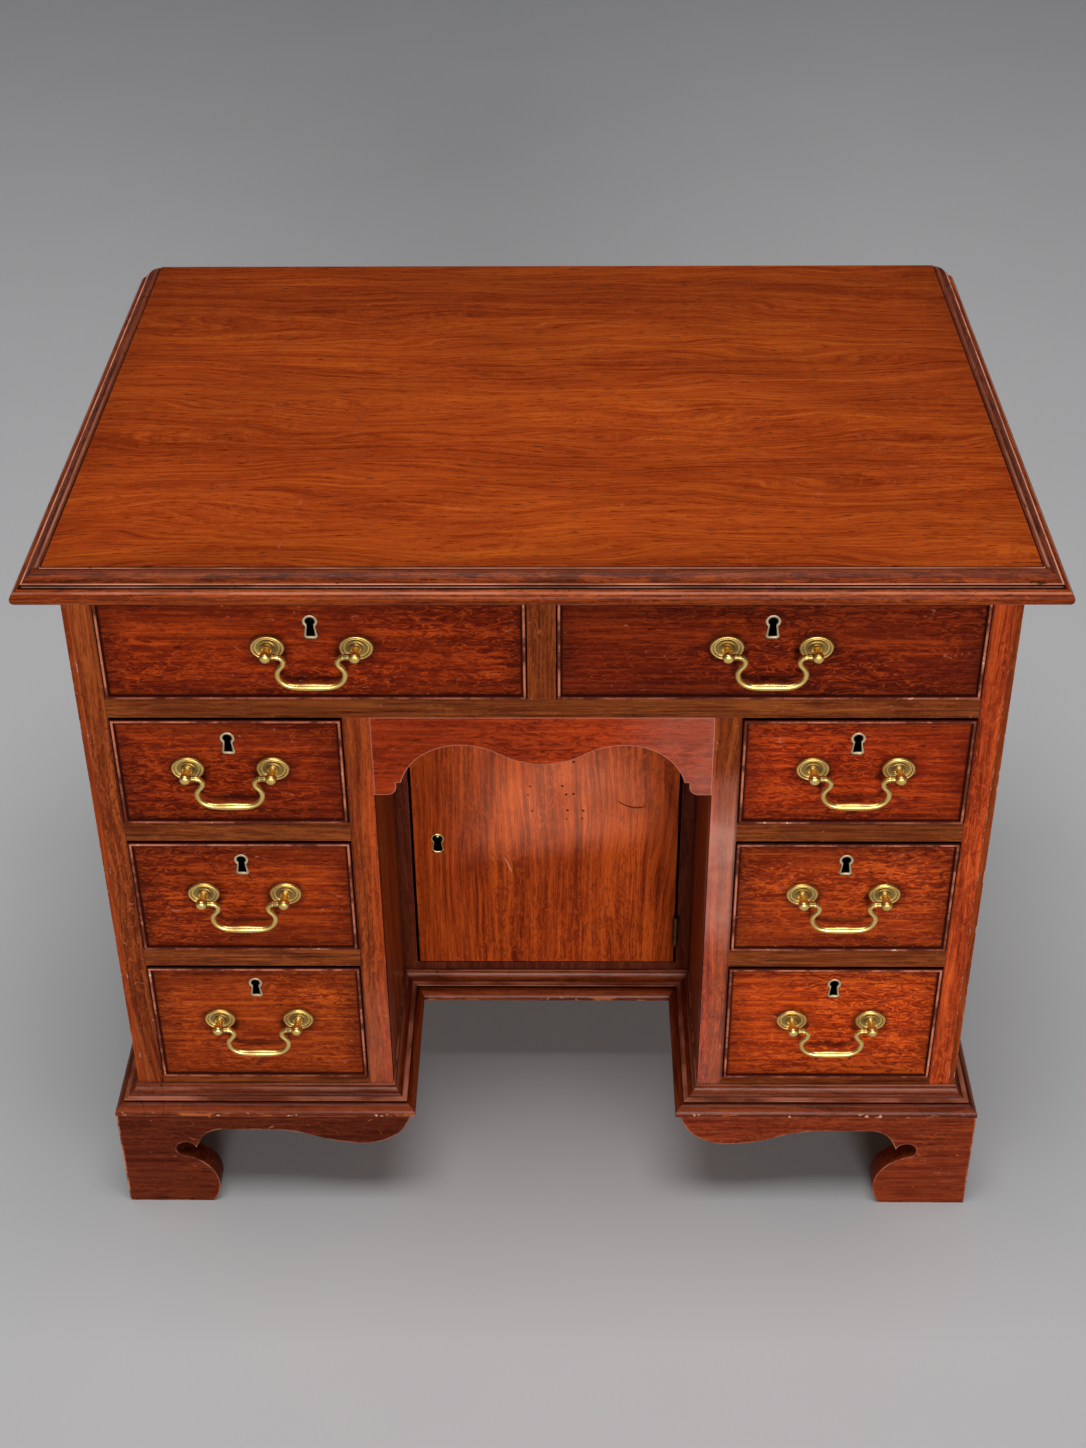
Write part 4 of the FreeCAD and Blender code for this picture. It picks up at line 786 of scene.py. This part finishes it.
def plinth_finish(s, g, colour, rough):
    """The plinth: cracks across it, a painted shadow in its quirk, arrises with wear and painted
    highlights, painted highlights on its upper curve and its belly, chips and raw patches along its lower
    edge.
    """
    run = s.parts(g)[0]
    wander = s.noise(s.object, (60.0, 60.0, 60.0), 2.0)
    place = s.calc("MULTIPLY_ADD", wander, 0.02, run)
    crack = s.contour(s.noise(s.join(place, 0.0, 0.0), (9.0, 1.0, 1.0), 1.0), 7.0, 0.975, 0.998)
    colour = s.mix(s.times(crack, 0.85), colour, srgb(24, 8, 4))
    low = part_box("plinth_moulding")[0].z
    foot = s.span(s.z, low + 6 * MM, low + 2.5 * MM)
    raw = s.noise(g, (18.0, 60.0, 60.0), 4.0, 0.65)
    colour = s.mix(s.times(foot, s.span(raw, 0.55, 0.62, 0.0, 0.8)), colour, srgb(186, 96, 46))
    chips = s.noise(s.object, (120.0, 120.0, 120.0), 3.0)
    colour = s.mix(s.times(foot, s.span(chips, 0.63, 0.67)), colour, srgb(208, 154, 118))
    worn = s.span(s.noise(g, (14.0, 40.0, 40.0), 4.0, 0.6), 0.36, 0.6, 0.2, 1.0)
    up = s.minus(s.z, low)
    # Painted shadow in the quirk
    quirk = s.between(up, 10.6 * MM, 11.1 * MM, 12.2 * MM, 12.6 * MM)
    colour = s.mix(s.times(quirk, 0.9), colour, GROOVE_SHADOW)
    # Painted highlights, with wear, on the arrises
    arris = s.between(up, 13.2 * MM, 13.6 * MM, 14.2 * MM, 14.6 * MM)
    colour = s.mix(s.times(arris, worn, 0.8), colour, ARRIS_WEAR_AND_HIGHLIGHT)
    colour = s.mix(s.times(s.span(up, 23.0 * MM, 23.6 * MM), worn, 0.6), colour, ARRIS_WEAR_AND_HIGHLIGHT)
    # Painted highlight along the crest of the upper curve
    crest = s.between(up, 16.0 * MM, 18.5 * MM, 19.5 * MM, 21.5 * MM)
    colour = s.mix(s.times(crest, worn, 0.35), colour, srgb(196, 122, 94))
    # A warm painted highlight on the belly
    belly = s.between(up, 4.0 * MM, 6.0 * MM, 8.0 * MM, 10.4 * MM)
    return s.mix(s.times(belly, worn, 0.2), colour, srgb(190, 92, 50)), rough


def back_finish(s, g, colour, rough):
    """The back: open joints between its boards, and dust."""
    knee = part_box("cupboard_frame")[1].x
    off = s.apart(s.size(s.x), knee)
    colour = s.mix(s.span(off, 1.4 * MM, 0.6 * MM, 0.0, 0.9), colour, srgb(30, 18, 10))
    dust = s.noise(s.object, (5.0, 5.0, 3.0), 4.0, 0.6)
    return s.mix(s.span(dust, 0.4, 0.7, 0.0, 0.35), colour, srgb(110, 80, 54)), rough


def bracket_finish(s, g, colour, rough):
    """The feet: worn edges, light scores and knocks, and painted light that makes the right-hand ones
    paler.
    """
    # Painted light, paler towards the right
    colour = s.scaled(colour, s.span(s.x, -0.1, 0.2, 1.0, 2.0))
    chipped = s.span(s.noise(s.object, (50.0, 50.0, 50.0), 4.0, 0.65), 0.42, 0.58, 0.15, 0.9)
    colour = s.mix(s.times(s.edges(s.eased(2.4 * MM)), chipped), colour, srgb(214, 140, 104))
    return knocks(s, colour, 0.7, srgb(196, 116, 70)), rough


def tones(middle, depth=0.42, lift=1.7, warm=1.25):
    """Dark, middle and light colours of one wood. warm turns the light one to orange."""
    dark = (middle[0] * depth, middle[1] * depth * 0.75, middle[2] * depth * 0.7, 1.0)
    light = (middle[0] * lift, middle[1] * lift * warm, middle[2] * lift * 1.1, 1.0)
    return dark, middle, light


ORANGE = tones(srgb(160, 62, 18), 0.5, 1.45, 1.35)
BROWN = tones(srgb(112, 49, 20))
RAIL = tones(srgb(118, 53, 21))
UPRIGHT = tones(srgb(122, 52, 20))
DOOR = tones(srgb(152, 55, 14), 0.42, 1.6)
APRON = tones(srgb(144, 45, 14))
PLUM = tones(srgb(84, 32, 18))
BASE = tones(srgb(100, 36, 13))
FOOT = tones(srgb(88, 30, 11))
EDGE = tones(srgb(110, 42, 15))
OAK = tones(srgb(168, 120, 74), 0.6, 1.3, 1.02)
PINE = tones(srgb(170, 118, 70), 0.6, 1.3, 1.02)
# Each front's own tone: darkest at the frieze, where the dark is painted shade under the top's overhang,
# and lighter lower down and on the right.
FRONT_TONES = {
    "frieze_left": tones(srgb(126, 36, 7), 0.4, 2.3, 1.5),
    "frieze_right": tones(srgb(112, 31, 7), 0.4, 2.3, 1.5),
    "upper_left": tones(srgb(128, 37, 9), 0.4, 2.2, 1.5),
    "upper_right": tones(srgb(147, 43, 12), 0.4, 2.1, 1.5),
    "middle_left": tones(srgb(134, 42, 10), 0.4, 2.1, 1.5),
    "middle_right": tones(srgb(157, 53, 17), 0.4, 2.0, 1.5),
    "lower_left": tones(srgb(142, 49, 13), 0.4, 2.0, 1.5),
    "lower_right": tones(srgb(177, 60, 17), 0.4, 1.9, 1.5),
}

top_wood = wood("mahogany_top_boards", ORANGE, "X", contrast=1.1, arches=0.8, flecks=0.3, wear=0.4,
                uneven=0.55, wander=0.1, extra=top_finish)
edge_wood = wood("mahogany_top_moulding", EDGE, "auto", contrast=1.6, flecks=0.6, wear=0.1, dirt_and_shade=1.0,
                 gloss=0.3, coat=0.03, extra=edge_finish)
upright_wood = wood("mahogany_uprights", UPRIGHT, "Z", contrast=1.5, flecks=0.6, wear=0.7, worn=PINK,
                    extra=upright_finish)
rail_wood = wood("mahogany_rails", RAIL, "X", contrast=1.4, flecks=0.4, wear=0.6, worn=PINK,
                 extra=rail_finish)
apron_wood = wood("mahogany_apron", APRON, "X", flecks=0.75, wear=0.8, worn=PINK, extra=apron_finish)
side_wood = wood("mahogany_sides", BROWN, "Z", arches=0.6, flecks=0.4, wear=0.6, worn=PINK,
                 extra=side_finish)
door_wood = wood("mahogany_door", DOOR, "Z", contrast=1.5, arches=0.8, flecks=0.6, wear=0.4, worn=PINK,
                 extra=door_finish)
frame_wood = wood("mahogany_cupboard_frame", PLUM, "Z", flecks=0.4, wear=0.5, worn=PINK)
plinth_wood = wood("mahogany_plinth", BASE, "auto", contrast=1.5, flecks=0.5, wear=0.2, dirt_and_shade=1.0,
                   gloss=0.3, shine=0.06, coat=0.06, worn=PINK, extra=plinth_finish)
bracket_wood = wood("mahogany_brackets", FOOT, "X", contrast=1.2, flecks=0.6, wear=0.7, worn=PINK,
                    extra=bracket_finish)
side_bracket_wood = wood("mahogany_side_brackets", FOOT, "Y", contrast=1.2, flecks=0.6, wear=0.7,
                         worn=PINK, extra=bracket_finish)
oak = wood("oak_linings", OAK, "auto", flecks=0.2, wear=0.1, worms=0.2, gloss=0.62)
oak_runners = wood("oak_runners", OAK, "Y", flecks=0.2, wear=0.1, worms=0.2, gloss=0.62)
pine_boards = wood("pine_boards", PINE, "Z", arches=1.5, flecks=0.0, wear=0.1, gloss=0.68,
                   extra=back_finish)
pine_blocks = wood("pine_blocks", PINE, "X", arches=1.5, flecks=0.0, wear=0.1, gloss=0.68)
brass = brass_material("old_brass", srgb(246, 210, 126), srgb(222, 178, 96),
                       srgb(80, 50, 18), 0.32, dished=True)
lining_brass = brass_material("bright_lining", srgb(250, 228, 160), srgb(228, 194, 118),
                              srgb(70, 44, 14), 0.24, shaded_inside=True)
worn_brass = brass_material("rough_brass", srgb(214, 196, 160), srgb(164, 138, 104),
                            srgb(48, 32, 18), 0.45, shaded_inside=True)
dark_brass = brass_material("dark_brass", srgb(112, 86, 50), srgb(60, 42, 24), srgb(24, 14, 8), 0.38)
iron = iron_material()

FINISHES = {
    "top_board": top_wood,
    "top_edge_moulding": edge_wood,
    "side_panel_left": side_wood,
    "side_panel_right": side_wood,
    "kneehole_sides": side_wood,
    "front_stiles": upright_wood,
    "top_rail": rail_wood,
    "frieze_rail": rail_wood,
    "pedestal_rails": rail_wood,
    "frieze_divider": upright_wood,
    "cupboard_frame": frame_wood,
    "apron": apron_wood,
    "door_panel": door_wood,
    "plinth_moulding": plinth_wood,
    "front_brackets": bracket_wood,
    "side_brackets": side_bracket_wood,
    "rear_brackets": pine_blocks,
    "glue_blocks": pine_blocks,
    "back_boards": pine_boards,
    "dustboards": pine_blocks,
    "top_kickers": oak_runners,
    "drawer_guides": oak_runners,
    "drawer_stops": oak_runners,
    "door_lock": iron,
}
for name in DRAWER_NAMES:
    FINISHES[name + "_drawer_front"] = wood(
        "mahogany_front_" + name, FRONT_TONES[name], "X", flecks=0.9, wear=0.3, worn=PINK,
        extra=drawer_front_finish(name))
    FINISHES[name + "_drawer_box"] = oak
for name, finish in FINISHES.items():
    node = frame["nodes"][name]
    if not node.data.materials:
        node.data.materials.append(finish)
    for place in node.material_slots:
        place.link = "OBJECT"
        place.material = finish


# The brass that replaces the flat-sided fittings

mounts = handle_mesh()
bails = bail_mesh()
linings = lining_mesh("escutcheon", 0.0, 1.2)
locks = lock_mesh()
for name in DRAWER_NAMES:
    pivot = PIVOTS[name + "_bail_hinge"]
    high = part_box(name + "_drawer_front")[1]
    drawer = name + "_drawer"
    keyhole = (pivot.x, FRONT_Y, high.z - KEYHOLE_BELOW_EDGE)
    piece(name + "_handle_mount", mounts, brass, drawer, (pivot.x, FRONT_Y, pivot.z),
          [name + "_drawer_fittings"])
    piece(name + "_swan_neck_bail", bails, brass, name + "_bail", pivot, [name + "_bail"])
    piece(name + "_escutcheon", linings, worn_brass, drawer, keyhole)
    piece(name + "_lock", locks, iron, drawer, (pivot.x, DRAWER_BACK_Y, high.z - 4 * MM))
low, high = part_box("door_escutcheon")
door_lining = lining_mesh("door_lining", 1.0, 2.6)
piece("door_keyhole_lining", door_lining, lining_brass, "door",
      ((low.x + high.x) / 2, DOOR_FACE_Y, low.z + 12.0 * MM), ["door_escutcheon"])
third, slit = 1 / 3, 0.005
outer_knuckles = [(0, third - slit), (2 * third + slit, 1)]
frame_hinges = hinge_mesh("frame_hinge_leaves", 1, outer_knuckles, "cupboard_hinge_leaves")
door_hinges = hinge_mesh("door_hinge_knuckles", -1, [(third, 2 * third)], "door_hinge_leaves")
piece("cupboard_hinges_fixed", frame_hinges, dark_brass, "carcass",
      stands_for=["cupboard_hinge_leaves"])
piece("cupboard_hinges_moving", door_hinges, dark_brass, "door",
      stands_for=["door_hinge_leaves"])
piece("back_board_nails", nail_mesh(), iron, "carcass")


# Floor, light and camera

FLOOR_REACH = 40.0
OVERHEAD_PLACE, OVERHEAD_TARGET = (0.0, -0.6, 4.4), (0, -0.2, 0.5)
OVERHEAD_SIZE, OVERHEAD_WATTS = (2.6, 2.2), 120
FILL_HEADING, FILL_SPREAD, FILL_STRENGTH = (-0.09, 1.0, -0.12), 24, 2.35
SKY, SKY_STRENGTH = srgb(235, 238, 242), 0.08
FOCAL_PIXELS, CENTRE_ROW = 2001.5, 540.0
CAMERA_PLACE = (21.1 * MM, -1661.3 * MM, 1674.5 * MM)
CAMERA_PITCH, CAMERA_YAW, CAMERA_ROLL = -32.494, 0.786, 0.456


def studio():
    """A wide pale floor."""
    bm = bmesh.new()
    signs = ((-1, -1), (1, -1), (1, 1), (-1, 1))
    bm.faces.new([bm.verts.new((x * FLOOR_REACH, y * FLOOR_REACH, 0)) for x, y in signs])
    mesh = finished_mesh("studio_floor", bm)
    floor = bpy.data.objects.new("studio_floor", mesh)
    bpy.context.scene.collection.objects.link(floor)
    s = Shade("pale_paper")
    tint = s.noise(s.object, (3.0, 3.0, 3.0), 2.0)
    s.shader(Base_Color=s.mix(tint, srgb(202, 202, 203), srgb(208, 208, 209)), Roughness=0.9)
    mesh.materials.append(s.made)
    floor.location.z = cad_low.z


def soft_light(name, at, target, size, power):
    """A large soft box that faces a point."""
    lamp = bpy.data.lights.new(name, "AREA")
    lamp.shape = "RECTANGLE"
    lamp.size, lamp.size_y = size
    lamp.energy = power
    made = bpy.data.objects.new(name, lamp)
    bpy.context.scene.collection.objects.link(made)
    made.location = at
    made.rotation_mode = "QUATERNION"
    made.rotation_quaternion = (Vector(target) - Vector(at)).to_track_quat("-Z", "Y")


def low_light(name, heading, spread, strength):
    """A broad light from low in front, the same all over the floor."""
    lamp = bpy.data.lights.new(name, "SUN")
    lamp.energy = strength
    lamp.angle = math.radians(spread)
    made = bpy.data.objects.new(name, lamp)
    bpy.context.scene.collection.objects.link(made)
    made.rotation_mode = "QUATERNION"
    made.rotation_quaternion = Vector(heading).to_track_quat("-Z", "Y")


def camera():
    """The photograph's camera, solved from the desk's corners."""
    turn = Matrix.Identity(3)
    for angle, axis in ((CAMERA_YAW, "Z"), (CAMERA_PITCH, "X"), (CAMERA_ROLL, "Y")):
        turn = turn @ Matrix.Rotation(math.radians(angle), 3, axis)
    right, ahead, up = turn.col
    data = bpy.data.cameras.new("photo_camera")
    data.lens = FOCAL_PIXELS / IMAGE_HEIGHT * data.sensor_width
    data.shift_y = (CENTRE_ROW - IMAGE_HEIGHT / 2) / IMAGE_HEIGHT
    made = bpy.data.objects.new("photo_camera", data)
    bpy.context.scene.collection.objects.link(made)
    made.matrix_world = Matrix.Translation(CAMERA_PLACE) @ Matrix((right, up, -ahead)).transposed().to_4x4()
    bpy.context.scene.camera = made


studio()
soft_light("overhead", OVERHEAD_PLACE, OVERHEAD_TARGET, OVERHEAD_SIZE, OVERHEAD_WATTS)
low_light("fill", FILL_HEADING, FILL_SPREAD, FILL_STRENGTH)
world = bpy.data.worlds.new("studio")
world.use_nodes = True
sky = world.node_tree.nodes["Background"]
sky.inputs["Color"].default_value = SKY
sky.inputs["Strength"].default_value = SKY_STRENGTH
bpy.context.scene.world = world
camera()
bpy.context.scene.view_settings.view_transform = "Standard"
